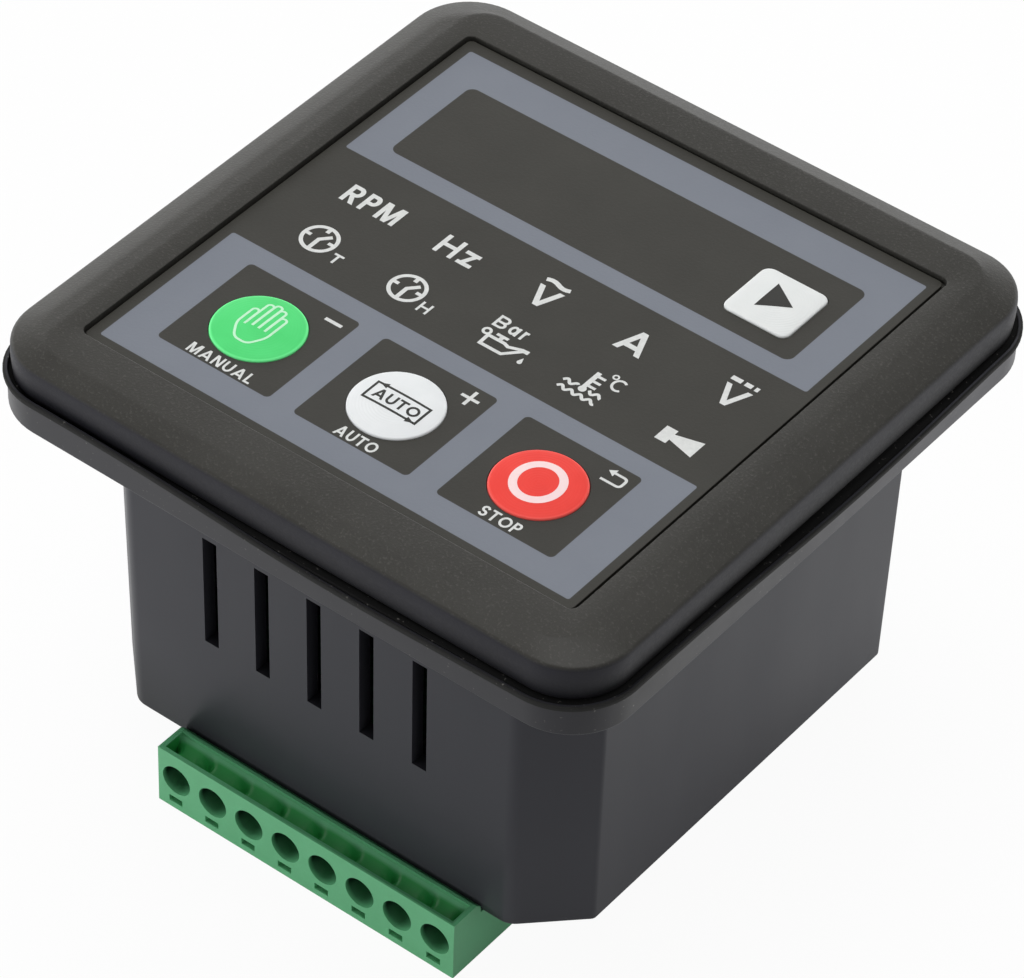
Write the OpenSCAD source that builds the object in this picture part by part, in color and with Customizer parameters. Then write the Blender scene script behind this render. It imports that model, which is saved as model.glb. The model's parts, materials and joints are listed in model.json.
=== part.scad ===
// Panel-mount controller for a generator set, lying on its back with the face up.
// X runs to the face's right, Y to its top edge, Z out of the face.
// The origin lies under the middle of the part, on the surface that it rests on.
// All sizes are in millimetres.

/* [Front bezel] */
// Outer width of the square bezel
bezel_w = 78.5; // [70:0.1:88]
// Corner radius of the bezel; the overlay recess starts where this radius ends
bezel_corner_r = 7.25; // [6.5:0.05:8.4]
// Height of the bezel's flat ring above the gasket
bezel_h = 5.45; // [5:0.05:7]
// Width of the flat ring at the left and right of the overlay
ring_side_w = 2.4; // [1.5:0.1:3]
// Width of the flat ring above and below the overlay
ring_end_w = 4.6; // [3.5:0.1:5.2]
// Corner radius of the flat ring's outline
ring_corner_r = 3.5; // [2:0.1:6]
// Width of the shallow shoulder beside the ring at left and right
shoulder_w = 2.1; // [1.5:0.1:2.6]
// Fall of that shoulder
shoulder_drop = 0.25; // [0.1:0.05:0.4]
// Corner radius of the shoulder's outline
shoulder_corner_r = 6; // [4:0.1:7]
// Fall of the sloping border from the ring to the outer crease
slope_drop = 0.95; // [0.6:0.05:1.8]
// Rounding of the outer crease
crease_r = 0.8; // [0.4:0.1:1]
// How far the outer wall leans in from its foot to the crease
wall_lean = 0.1; // [0:0.05:0.6]
// Rounding of the outer wall's foot
foot_r = 1.2; // [0.2:0.1:1.3]
// Height of the shadow gap between the bezel's outer wall and the gasket
shadow_gap_h = 0.5; // [0.4:0.1:1.4]
// Depth of the shadow gap, inwards from the outer wall
shadow_gap_d = 1.4; // [1.3:0.1:1.6]
// Thickness of the bezel's outer wall behind its face
skirt_t = 2.4; // [2:0.1:2.8]
// Thickness of the front plate that carries the overlay
plate_t = 2; // [1.6:0.1:2.6]

/* [Overlay] */
// Depth of the recess that holds the overlay
recess_depth = 0.85; // [0.6:0.05:1.1]
// Thickness of the printed film
overlay_t = 0.4; // [0.2:0.05:0.5]
// Gap between the film and the recess wall
overlay_gap = 0.3; // [0.1:0.05:0.5]
// Corner radius of the recess
recess_corner_r = 1; // [0.6:0.1:2]

/* [Keys] */
// Radius of a round key
key_r = 5.15; // [4.5:0.05:5.6]
// Distance between the round keys
key_pitch = 18.25; // [16.5:0.05:19]
// X of the middle round key
key_row_x = -0.2; // [-1:0.1:1]
// Height of the row of round keys above the overlay's lower edge
key_row_up = 12; // [11:0.1:13]
// Side of the square scroll key
scroll_w = 8.35; // [7.5:0.05:9]
// Corner radius of the scroll key
scroll_corner_r = 1.1; // [0.6:0.1:2]
// X of the scroll key
scroll_x = 19.85; // [19:0.05:20.5]
// Distance of the scroll key below the overlay's upper edge
scroll_down = 13.85; // [13:0.05:14.5]
// How far a key's rim stands above the film
key_proud = 0.15; // [0.05:0.05:0.4]
// How much higher a key's middle is than its rim
key_crown = 0.2; // [0.1:0.05:0.4]
// Rounding of a key's rim
key_rim_r = 0.25; // [0.1:0.05:0.4]
// Width of the flange that keeps a key behind the plate
key_flange_w = 1.05; // [0.8:0.05:1.3]
// Thickness of that flange
key_flange_t = 0.75; // [0.5:0.05:1]
// Free gap around a key and above its flange
key_gap = 0.2; // [0.15:0.05:0.3]

/* [Rear case] */
// How far the bezel covers the panel around the case
panel_cover = 6.65; // [6:0.05:8]
// How much narrower the case is at its back, in all
case_taper = 1.3; // [0:0.1:2.5]
// Length of the flat that cuts each upright corner, along either side
case_cut = 6.45; // [5:0.05:8]
// Rounding of the case's outer edges
case_edge_r = 0.4; // [0.3:0.1:2]
// Thickness of the case's side walls
case_wall = 1.8; // [1.4:0.1:2.2]
// Thickness of the case's back wall
back_wall_t = 2; // [1.6:0.1:2.6]
// Depth of the case behind the panel
body_depth = 41.3; // [38:0.1:50]
// Height of the case's back above the surface that the part rests on
case_lift = 6.7; // [6.4:0.1:7.6]

/* [Vents] */
// Number of vent slots in the wall over each terminal row
vent_count = 5; // [1:1:7]
// Distance between the slots
vent_pitch = 7; // [5:0.1:7.5]
// Width of a slot
vent_w = 1.9; // [1:0.1:3]
// Length of a slot
vent_l = 15.1; // [8:0.1:18]
// Distance from the panel's face down to the slots
vent_drop = 10.25; // [6:0.05:12]
// X of the row's middle
vent_x = -0.5; // [-1:0.1:1]

/* [Panel gasket] */
// Thickness of the gasket between panel and bezel
gasket_t = 3.2; // [2.6:0.1:4]
// How far the gasket's side wall stands out from the bezel
gasket_overhang = 0.4; // [0.2:0.05:0.6]
// How much further the lip along its top edge stands out
lip_out = 0.45; // [0.2:0.05:0.6]
// Height of the lip above the face that the bezel rests on
lip_rise = 0.2; // [0.1:0.05:0.7]
// Height of the lip's outer face
lip_h = 0.8; // [0.6:0.05:1.2]
// Width of the lip's raised edge
lip_w = 0.55; // [0.3:0.05:0.8]
// Rounding of the gasket's lower edge
gasket_edge_r = 0.4; // [0.2:0.05:0.8]
// Gap between the gasket and the case
gasket_gap = 0.2; // [0.1:0.05:0.5]

/* [Terminals] */
// Poles in each terminal row
poles = 8; // [4:1:8]
// Distance between poles
pole_pitch = 5.08; // [5:0.01:5.08]
// X of the lower row's middle; the upper row is the same row turned half round
plug_x = 1.7; // [0:0.1:2]
// How far a plug's wire face stands out from the case
plug_out = 3.9; // [3.6:0.1:5]
// Height of a plug's wire face
plug_h = 8; // [7.8:0.1:9]
// Radius of a wire hole
wire_r = 2; // [1.6:0.05:2.1]
// Height of the wire holes
wire_z = 4.35; // [4.2:0.05:4.6]
// Width of the open trough above the wire holes
trough_w = 1.8; // [1.2:0.1:2]
// Thickness of the trough's outer wall and ends
trough_wall = 0.65; // [0.5:0.05:0.9]
// Depth of the trough between its humps
trough_d = 3.1; // [2:0.1:3.4]
// Distance of a row of header pins inside the case's outer face
pin_in = 7.1; // [6.9:0.1:7.4]
// Width of a header over its walls
header_w = 8.4; // [8:0.1:8.6]
// Height of a header from its mouth to its board
header_h = 8.4; // [8:0.1:10]
// Thickness of a header's walls
header_wall = 0.9; // [0.7:0.05:1.1]
// Width of a square header pin
pin_w = 1; // [0.8:0.05:1.1]

/* [Boards] */
// Thickness of the circuit boards
board_t = 1.6; // [1.2:0.1:2]
// Gap between a board's edge and the case
board_gap = 0.7; // [0.5:0.1:1]
// Length of the bosses between front plate and display board
boss_h = 5.2; // [5:0.1:6]
// Radius of those bosses
boss_r = 2.1; // [1.9:0.1:2.3]
// Radius of the posts under the main board
post_r = 2.5; // [2.2:0.1:2.7]
// Length, width and height of the digit module
digit_size = [38.5, 13, 6.7]; // [5:0.1:42]
// X of the digit module's middle
digit_x = -6.2; // [-8:0.1:-5]
// Distance of the digit module's middle below the overlay's upper edge
digit_down = 13.4; // [12:0.1:14]
// Distance between the indicator lights along a row
led_pitch = 11.7; // [11:0.1:11.9]
// Heights of the two rows of indicator lights on the face
led_rows = [3.6, -4.6]; // [-10:0.1:10]
// X of the rows' middle
led_x = 1.4; // [1:0.1:1.8]

/* [Fit] */
// Free gap between pieces that are put together by hand
fit = 0.2; // [0.1:0.05:0.25]
// Gap around a screw's shank in its pilot hole
thread_gap = 0.05; // [0.02:0.01:0.1]

/* [Hidden] */
$fn = 64;
// Length by which a cutting tool runs past the face that it cuts
past = 1;
// Thickness of the slabs that a hull spans
sliver = 0.01;

// Heights, from the surface that the part rests on
z_case_back = case_lift;
z_case_floor = z_case_back + back_wall_t;
z_seat = z_case_back + body_depth;
z_foot = z_seat + gasket_t;
z_ring = z_foot + bezel_h;
z_crease = z_ring - slope_drop;
z_recess = z_ring - recess_depth;
z_film = z_recess + overlay_t;
z_plate = z_recess - plate_t;
z_display_front = z_plate - boss_h;
z_display_back = z_display_front - board_t;
z_main_back = z_case_back + header_h;
z_main_front = z_main_back + board_t;

// Half widths; the bezel's section is carried round a square of half side path
path = bezel_w / 2 - bezel_corner_r;
film_half = path - overlay_gap;
skirt_in = bezel_corner_r - skirt_t;
flange_half = path + skirt_in - fit;
half_front = bezel_w / 2 - panel_cover;
half_back = half_front - case_taper / 2;
// A flat that is moved inwards by d is shorter by this share of d on each side
corner_share = 2 - sqrt(2);

// Screws of the case flange
flange_screw_out = 1.2;
flange_screw_at = path + flange_screw_out;
flange_screw_r = 0.95;
flange_head_r = 1.9;
flange_head_h = 1.1;
flange_screw_l = 3.6;
flange_screw_top = z_foot + flange_head_h + flange_screw_l;
// Screws of both boards
board_screw_r = 1.1;
board_head_r = 2;
board_head_h = 1.2;
board_screw_l = 5;
boss_in = 4.8;
boss_side_in = 7.5;
boss_low = -8.8;
boss_top = path - boss_in;
boss_side = path - boss_side_in;
boss_at = [[-boss_side, boss_top], [boss_side, boss_top], [-boss_top, boss_low], [boss_top, boss_low]];
post_in = 6.5;
post_end_in = 12.5;
post_at = [for (x = [-1, 1], y = [-1, 1]) [x * (half_back - post_in), y * (half_back - post_end_in)]];

// Keys and their switches
key_row_y = key_row_up - film_half;
digit_at = [digit_x, film_half - digit_down];
manual_at = [key_row_x - key_pitch, key_row_y];
auto_at = [key_row_x, key_row_y];
stop_at = [key_row_x + key_pitch, key_row_y];
scroll_at = [scroll_x, film_half - scroll_down];
switch_w = 6.2;
switch_h = 3.5;
switch_well_d = 1.7;
plunger_r = 1.7;
z_key_foot = z_plate - key_gap - key_flange_t;
z_key_rim = z_film + key_proud;
z_switch_top = z_display_front + switch_h;
plunger_in = 0.85;

// Terminal rows, drawn for the lower row and turned half round for the upper one
plug_reach = half_front + plug_out;
pin_y = half_front - pin_in;
row_l = poles * pole_pitch;
header_l = row_l + 2 * (header_wall + fit);
mate_w = header_w - 2 * (header_wall + fit);
mate_top = z_case_back + header_h - header_wall - 2 * fit;
plug_top = z_case_back - fit;
plug_inner = pin_y - header_w / 2;
step_y = half_front + fit;
tube_wall = 0.45;
tube_r = wire_r + tube_wall;
cage = [3.9, 5, 3.8];
cage_wall = 0.7;
cage_set_back = 2.9;
// How far a cage's middle lies below the wire hole's
cage_drop = 0.4;
cage_y = -(plug_reach - cage_set_back - cage[1] / 2);
cage_low = wire_z - cage_drop - cage[2] / 2;
clamp_r = 1.25;
clamp_head_r = 1.75;
clamp_head_h = 1.1;
clamp_sunk = 0.4;
pin_tail = 1.6;
key_slot = [1.6, 3, 0.6];
key_slot_z = 1.25;
function pole_x(i) = (i - (poles - 1) / 2) * pole_pitch;

// Riser board and its sockets
riser_in = 5;
riser_at = [half_back - riser_in, 4];
riser_w = 14;
socket_w = 3.6;
socket_h = 5;
riser_seat = 1;

// Main board parts
relay = [14.4, 19.2, 15.3];
relay_pitch = 15;
relay_at = [-2.4, 3];
capacitor_r = 5;
capacitor_h = 16;
capacitor_pitch = 12;
capacitor_at = [-9, -12.5];
choke = [14, 11, 12];
choke_at = [11, -12.5];
chip = [12, 12, 1.4];
led_size = [3.2, 2, 1.6];
light_well = [5, 3];

function octagon(half, cut) = [
    for (q = [0:3]) let (c = cos(90 * q), s = sin(90 * q))
        for (p = [[half, half - cut], [half - cut, half]])
            [c * p[0] - s * p[1], s * p[0] + c * p[1]]
];
function unit(v) = v / norm(v);
// Points of an arc of radius r that rounds the corner b between the points a and c
function rounded(a, b, c, r, steps = 6) =
    let (u = unit(a - b), v = unit(c - b), half_turn = acos(u * v) / 2)
    let (centre = b + unit(u + v) * r / sin(half_turn), reach = r / tan(half_turn))
    let (from = b + u * reach - centre, to = b + v * reach - centre)
    let (start = atan2(from[1], from[0]), end = atan2(to[1], to[0]))
    let (sweep = (end - start + 900) % 360 - 180)
    [for (i = [0:steps]) let (t = start + sweep * i / steps) centre + r * [cos(t), sin(t)]];

module round_rect(w, h, r) {
    square([w - 2 * r, h], center = true);
    square([w, h - 2 * r], center = true);
    for (x = [-1, 1], y = [-1, 1])
        translate([x * (w / 2 - r), y * (h / 2 - r)])
            circle(r);
}

module box_at(x, y, z, size) {
    translate([x - size[0] / 2, y - size[1] / 2, z])
        cube(size);
}

// Carries a section round a square: its X runs outwards from the square, its Y is height
module swept_square(half) {
    for (q = [0:3])
        rotate(90 * q) {
            translate([half, half, 0])
                rotate([90, 0, 0])
                    linear_extrude(2 * half)
                        children();
            translate([half, half, 0])
                rotate_extrude(angle = 90)
                    children();
        }
}

// Thin slab with rounded corners whose top lies at height z
module slab(half_x, half_y, r, z) {
    translate([0, 0, z - sliver])
        linear_extrude(sliver)
            round_rect(2 * half_x, 2 * half_y, r);
}

// Outer form of the bezel: ring, side shoulders, border with a rounded crease, and side wall
module bezel_form() {
    ring_x = path + ring_side_w;
    ring_y = path + ring_end_w;
    wall_foot = [bezel_corner_r, z_foot + shadow_gap_h];
    crease = [bezel_corner_r - wall_lean, z_crease];
    shoulder = [ring_side_w + shoulder_w, z_ring - shoulder_drop];
    shoulder_y = ring_y + (path + crease[0] - ring_y) * shoulder_drop / slope_drop;
    hull() {
        slab(ring_x, ring_y, ring_corner_r, z_ring);
        slab(ring_x + shoulder_w, shoulder_y, shoulder_corner_r, shoulder[1]);
        for (p = rounded(wall_foot, crease, shoulder, crease_r, 4))
            slab(path + p[0], path + p[0], p[0], p[1]);
        for (p = rounded([0, wall_foot[1]], wall_foot, crease, foot_r, 4))
            slab(path + p[0], path + p[0], p[0], p[1] + sliver);
    }
}

module bezel_shell() {
    groove_x = bezel_corner_r - shadow_gap_d;
    difference() {
        union() {
            bezel_form();
            translate([0, 0, z_foot])
                linear_extrude(shadow_gap_h + sliver)
                    round_rect(2 * (path + groove_x), 2 * (path + groove_x), groove_x);
        }
        translate([0, 0, z_foot - past])
            linear_extrude(z_plate - z_foot + past)
                round_rect(2 * (path + skirt_in), 2 * (path + skirt_in), skirt_in);
        translate([0, 0, z_recess])
            linear_extrude(recess_depth + past)
                round_rect(2 * path, 2 * path, recess_corner_r);
    }
}

module front_bezel() {
    color("#3a3a38")
    difference() {
        union() {
            bezel_shell();
            for (at = boss_at)
                translate([at[0], at[1], z_display_front])
                    cylinder(r = boss_r, h = boss_h + plate_t / 2);
        }
        for (at = [manual_at, auto_at, stop_at])
            translate([at[0], at[1], z_plate - past])
                cylinder(r = key_r + key_gap, h = plate_t + 2 * past);
        translate([scroll_at[0], scroll_at[1], z_plate - past])
            linear_extrude(plate_t + 2 * past)
                round_rect(scroll_w + 2 * key_gap, scroll_w + 2 * key_gap, scroll_corner_r + key_gap);
        box_at(digit_at[0], digit_at[1], z_plate - past,
            [digit_size[0] + 2 * fit, digit_size[1] + 2 * fit, plate_t + 2 * past]);
        led_places(z_plate - past)
            box_at(0, 0, 0, [light_well[0], light_well[1], plate_t + 2 * past]);
        for (at = boss_at)
            translate([at[0], at[1], z_display_front - past])
                cylinder(r = board_screw_r + thread_gap, h = board_screw_l - board_t + past);
        flange_screw_places(z_plate - past)
            cylinder(r = flange_screw_r + thread_gap, h = flange_screw_top - z_plate + past);
    }
}

module panel_overlay() {
    color("#3c3c3a")
    translate([0, 0, z_recess])
        linear_extrude(overlay_t)
            difference() {
                round_rect(2 * film_half, 2 * film_half, recess_corner_r - overlay_gap);
                for (at = [manual_at, auto_at, stop_at])
                    translate(at)
                        circle(key_r + key_gap);
                translate(scroll_at)
                    round_rect(scroll_w + 2 * key_gap, scroll_w + 2 * key_gap, scroll_corner_r + key_gap);
            }
}

// Height of a key's crowned top at distance x from its middle: a parabola that ends at the rim
function crown_z(x, r) = z_key_rim + key_crown * (1 - pow(x / r, 2));

// Rod with a crowned top and a rounded rim
module crowned_rod(r) {
    steps = 6;
    top = [for (i = [0:steps]) let (x = (r - key_rim_r) * (1 - i / steps)) [x, crown_z(x, r)]];
    rim = rounded([r, z_key_foot], [r, top[0][1]], top[0], key_rim_r, 4);
    rotate_extrude()
        polygon(concat([[0, z_key_foot], [r, z_key_foot]], rim, [for (i = [1:steps]) top[i]]));
}

module round_key(at) {
    translate([at[0], at[1], 0]) {
        translate([0, 0, z_key_foot])
            cylinder(r = key_r + key_flange_w, h = key_flange_t);
        crowned_rod(key_r);
    }
}

module manual_key() {
    color("#57d77c")
        round_key(manual_at);
}

module auto_key() {
    color("#eceded")
        round_key(auto_at);
}

module stop_key() {
    color("#ee4340")
        round_key(stop_at);
}

module scroll_key() {
    flange_side = scroll_w + 2 * key_flange_w;
    color("#eceded")
    translate([scroll_at[0], scroll_at[1], 0]) {
        translate([0, 0, z_key_foot])
            linear_extrude(key_flange_t)
                round_rect(flange_side, flange_side, scroll_corner_r);
        intersection() {
            translate([0, 0, z_key_foot])
                linear_extrude(z_key_rim + key_crown - z_key_foot)
                    round_rect(scroll_w, scroll_w, scroll_corner_r);
            crowned_rod(scroll_w / sqrt(2));
        }
    }
}

module plunger(at) {
    color("#8c8f92")
    translate([at[0], at[1], z_switch_top - plunger_in])
        cylinder(r = plunger_r, h = z_key_foot - z_switch_top + plunger_in);
}

module manual_plunger() {
    plunger(manual_at);
}

module auto_plunger() {
    plunger(auto_at);
}

module stop_plunger() {
    plunger(stop_at);
}

module scroll_plunger() {
    plunger(scroll_at);
}

module key_switches() {
    color("#2b2b2d")
    for (at = [manual_at, auto_at, stop_at, scroll_at])
        difference() {
            box_at(at[0], at[1], z_display_front, [switch_w, switch_w, switch_h]);
            translate([at[0], at[1], z_switch_top - switch_well_d])
                cylinder(r = plunger_r + key_gap, h = switch_well_d + past);
        }
}

// Section of the gasket's rim: side wall, rounded lower edge and raised lip
module gasket_section() {
    wall_x = bezel_corner_r + gasket_overhang;
    lip_x = wall_x + lip_out;
    lip_top = z_foot + lip_rise;
    root_x = skirt_in - skirt_t;
    polygon(concat(
        [[root_x, z_seat]],
        rounded([root_x, z_seat], [wall_x, z_seat], [wall_x, z_foot], gasket_edge_r, 4),
        [[wall_x, lip_top - lip_h], [lip_x, lip_top - lip_h + lip_out / 2]],
        [[lip_x, lip_top], [lip_x - lip_w, lip_top], [lip_x - lip_w, z_foot], [root_x, z_foot]]
    ));
}

module panel_gasket() {
    web_half = path + skirt_in;
    color("#303033") {
        swept_square(path)
            gasket_section();
        translate([0, 0, z_seat])
            linear_extrude(gasket_t)
                difference() {
                    round_rect(2 * web_half, 2 * web_half, skirt_in);
                    polygon(octagon(half_front + gasket_gap, case_cut));
                }
    }
}

// Tub with cut corners, its edges rounded by balls at the back and rods at the front
module case_outside() {
    r = case_edge_r;
    cut = case_cut - corner_share * r;
    hull() {
        for (p = octagon(half_back - r, cut))
            translate([p[0], p[1], z_case_back + r])
                sphere(r, $fn = 32);
        for (p = octagon(half_front - r, cut))
            translate([p[0], p[1], z_plate - r])
                cylinder(r = r, h = r, $fn = 32);
    }
}

module case_inside() {
    cut = case_cut - corner_share * case_wall;
    hull() {
        translate([0, 0, z_case_floor])
            linear_extrude(past)
                polygon(octagon(half_back - case_wall, cut));
        translate([0, 0, z_plate])
            linear_extrude(past)
                polygon(octagon(half_front - case_wall, cut));
    }
}

// Slots through the wall over the lower terminal row
module vent_row() {
    cut = half_front + past;
    for (i = [0:vent_count - 1])
        translate([vent_x + (i - (vent_count - 1) / 2) * vent_pitch, -cut / 2, 0])
            box_at(0, 0, z_seat - vent_drop - vent_l, [vent_w, cut, vent_l]);
}

module rear_case() {
    header_hole = [header_l + 2 * fit, header_w + 2 * fit, back_wall_t + 2 * past];
    color("#38383b")
    difference() {
        union() {
            difference() {
                union() {
                    case_outside();
                    translate([0, 0, z_foot])
                        linear_extrude(z_plate - z_foot)
                            round_rect(2 * flange_half, 2 * flange_half, skirt_in - fit);
                }
                case_inside();
            }
            for (at = post_at)
                translate([at[0], at[1], z_case_floor - back_wall_t / 2])
                    cylinder(r = post_r, h = z_main_back - z_case_floor + back_wall_t / 2);
        }
        for (turn = [0, 180])
            rotate(turn)
                vent_row();
        terminal_rows()
            box_at(0, -pin_y, z_case_back - past, header_hole);
        for (at = post_at)
            translate([at[0], at[1], z_main_front - board_screw_l])
                cylinder(r = board_screw_r + thread_gap, h = board_screw_l);
        flange_screw_places(z_foot - past) {
            cylinder(r = flange_screw_r + fit, h = z_plate - z_foot + 2 * past);
            cylinder(r = flange_head_r + fit, h = flange_head_h + past);
        }
    }
}

module flange_screw_places(z) {
    for (x = [-1, 1], y = [-1, 1])
        translate([x * flange_screw_at, y * flange_screw_at, z])
            children();
}

module flange_screws() {
    color("#8e9194")
    flange_screw_places(z_foot) {
        cylinder(r = flange_head_r, h = flange_head_h);
        cylinder(r = flange_screw_r, h = flange_head_h + flange_screw_l);
    }
}

// Board outline that follows the inside of the case at a half width of the case
module board_outline(case_half) {
    inset = case_wall + board_gap;
    polygon(octagon(case_half - inset, case_cut - corner_share * inset));
}

module led_places(z) {
    for (i = [-2:2], y = led_rows)
        translate([led_x + i * led_pitch, y, z])
            children();
}

module display_board() {
    color("#2d6b46")
    difference() {
        translate([0, 0, z_display_back])
            linear_extrude(board_t)
                board_outline(half_front - case_taper / 2);
        for (at = boss_at)
            translate([at[0], at[1], z_display_back - past])
                cylinder(r = board_screw_r + fit, h = board_t + 2 * past);
    }
}

module digit_display() {
    color("#1c1c1e")
        box_at(digit_at[0], digit_at[1], z_display_front, digit_size);
}

module indicator_leds() {
    color("#d9d6c8")
    led_places(z_display_front)
        box_at(0, 0, 0, led_size);
}

module controller_chip() {
    color("#222224")
        box_at(0, key_row_y / 2, z_display_back - chip[2], chip);
}

module board_screw() {
    translate([0, 0, -board_head_h])
        cylinder(r = board_head_r, h = board_head_h);
    cylinder(r = board_screw_r, h = board_screw_l);
}

module display_board_screws() {
    color("#a3a6a9")
    for (at = boss_at)
        translate([at[0], at[1], z_display_back])
            board_screw();
}

module main_board() {
    color("#2d6b46")
    difference() {
        translate([0, 0, z_main_back])
            linear_extrude(board_t)
                board_outline(half_back);
        for (at = post_at)
            translate([at[0], at[1], z_main_back - past])
                cylinder(r = board_screw_r + fit, h = board_t + 2 * past);
        terminal_poles()
            translate([0, -pin_y, z_main_back - past])
                cylinder(r = pin_w * sqrt(2) / 2 + thread_gap, h = board_t + 2 * past);
    }
}

module main_board_screws() {
    color("#a3a6a9")
    for (at = post_at)
        translate([at[0], at[1], z_main_front])
            mirror([0, 0, 1])
                board_screw();
}

module output_relays() {
    color("#2a4f86")
    for (i = [-1:1])
        box_at(relay_at[0] + i * relay_pitch, relay_at[1], z_main_front, relay);
}

module filter_capacitors() {
    color("#27272b")
    for (i = [-1, 1])
        translate([capacitor_at[0] + i * capacitor_pitch / 2, capacitor_at[1], z_main_front])
            cylinder(r = capacitor_r, h = capacitor_h);
}

module power_choke() {
    color("#3b3a38")
        box_at(choke_at[0], choke_at[1], z_main_front, choke);
}

module riser_board() {
    low = z_main_front + riser_seat;
    high = z_display_back - riser_seat;
    color("#2d6b46")
        box_at(riser_at[0], riser_at[1], low, [board_t, riser_w, high - low]);
}

module riser_sockets() {
    slot_w = board_t + 2 * thread_gap;
    socket = [socket_w, riser_w + 2 * riser_seat, socket_h];
    color("#28282a")
    difference() {
        union() {
            box_at(riser_at[0], riser_at[1], z_main_front, socket);
            box_at(riser_at[0], riser_at[1], z_display_back - socket_h, socket);
        }
        box_at(riser_at[0], riser_at[1], z_main_front + riser_seat,
            [slot_w, riser_w + 2 * thread_gap, z_display_back - z_main_front - 2 * riser_seat]);
    }
}

module terminal_rows() {
    for (turn = [0, 180])
        rotate(turn)
            translate([plug_x, 0, 0])
                children();
}

module terminal_poles() {
    terminal_rows()
        for (i = [0:poles - 1])
            translate([pole_x(i), 0, 0])
                children();
}

module header() {
    inner = [header_l - 2 * header_wall, header_w - 2 * header_wall, header_h];
    color("#2f8a54")
    translate([plug_x, 0, 0])
        difference() {
            box_at(0, -pin_y, z_case_back, [header_l, header_w, header_h]);
            box_at(0, -pin_y, z_case_back - header_wall, inner);
            for (i = [0:poles - 1])
                box_at(pole_x(i), -pin_y, z_case_back, [pin_w, pin_w, header_h + past]);
        }
}

module lower_header() {
    header();
}

module upper_header() {
    rotate(180)
        header();
}

module header_pins() {
    color("#b9b6a8")
    terminal_poles()
        box_at(0, -pin_y, z_case_floor, [pin_w, pin_w, z_main_front + pin_tail - z_case_floor]);
}

// Plug body: a block under the case, a raised edge outside it and a block that enters the header
module plug_block() {
    box_at(0, -(plug_reach + plug_inner) / 2, 0, [row_l, plug_reach - plug_inner, plug_top]);
    box_at(0, -(plug_reach + step_y) / 2, 0, [row_l, plug_reach - step_y, plug_h]);
    box_at(0, -pin_y, 0, [row_l, mate_w, mate_top]);
}

// Open trough whose floor shows the tops of the wire tubes
module plug_trough() {
    difference() {
        box_at(0, -(plug_reach - trough_wall - trough_w / 2), plug_h - trough_d,
            [row_l - 2 * trough_wall, trough_w, trough_d + past]);
        for (i = [0:poles - 1])
            translate([pole_x(i), -plug_inner, wire_z])
                rotate([90, 0, 0])
                    cylinder(r = tube_r, h = plug_reach - plug_inner);
    }
}

module pole_hollows() {
    room = [cage[0] + 2 * fit, cage[1] + 2 * fit, cage[2] + fit];
    translate([0, cage_y - cage[1] / 2, wire_z])
        rotate([90, 0, 0])
            cylinder(r = wire_r, h = cage_set_back + past);
    box_at(0, cage_y, cage_low, room);
    translate([0, cage_y, -past])
        cylinder(r = clamp_head_r + fit, h = cage_low + past);
    box_at(0, -plug_reach, key_slot_z - key_slot[2] / 2, key_slot);
    box_at(0, -pin_y, z_case_back, [2 * pin_w, 2 * pin_w, mate_top]);
}

module plug() {
    color("#3f9460")
    translate([plug_x, 0, 0])
        difference() {
            plug_block();
            plug_trough();
            for (i = [0:poles - 1])
                translate([pole_x(i), 0, 0])
                    pole_hollows();
        }
}

module lower_plug() {
    plug();
}

module upper_plug() {
    rotate(180)
        plug();
}

module clamp_cages() {
    passage = [cage[0] - 2 * cage_wall, cage[1] + 2 * past, cage[2] - 2 * cage_wall];
    color("#b7b9ba")
    terminal_poles()
        translate([0, cage_y, 0])
            difference() {
                box_at(0, 0, cage_low, cage);
                box_at(0, 0, cage_low + cage_wall, passage);
                translate([0, 0, cage_low - past])
                    cylinder(r = clamp_r + thread_gap, h = cage_wall + 2 * past);
            }
}

module clamp_screws() {
    color("#b7b9ba")
    terminal_poles()
        translate([0, cage_y, clamp_sunk]) {
            cylinder(r = clamp_head_r, h = clamp_head_h);
            cylinder(r = clamp_r, h = wire_z - wire_r - clamp_sunk + cage_wall);
        }
}

front_bezel();
panel_overlay();
manual_key();
auto_key();
stop_key();
scroll_key();
manual_plunger();
auto_plunger();
stop_plunger();
scroll_plunger();
key_switches();
panel_gasket();
rear_case();
display_board();
digit_display();
indicator_leds();
controller_chip();
display_board_screws();
main_board();
output_relays();
filter_capacitors();
power_choke();
main_board_screws();
riser_board();
riser_sockets();
flange_screws();
lower_header();
upper_header();
header_pins();
lower_plug();
upper_plug();
clamp_cages();
clamp_screws();
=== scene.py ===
# %% [markdown]
# # A panel controller for a generator set
# The part lies on its back: a square bezel with a printed face and four keys on top, a deep black
# case under it, and green screw terminals under the case. The packed model gives every solid its
# place; this lesson rebuilds what shows as smooth surfaces and gives each finish its own nodes.

# %% Load the packed model
import json

import bmesh
import bpy
import numpy as np
from mathutils import Matrix, Vector
from mathutils.geometry import tessellate_polygon


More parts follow.
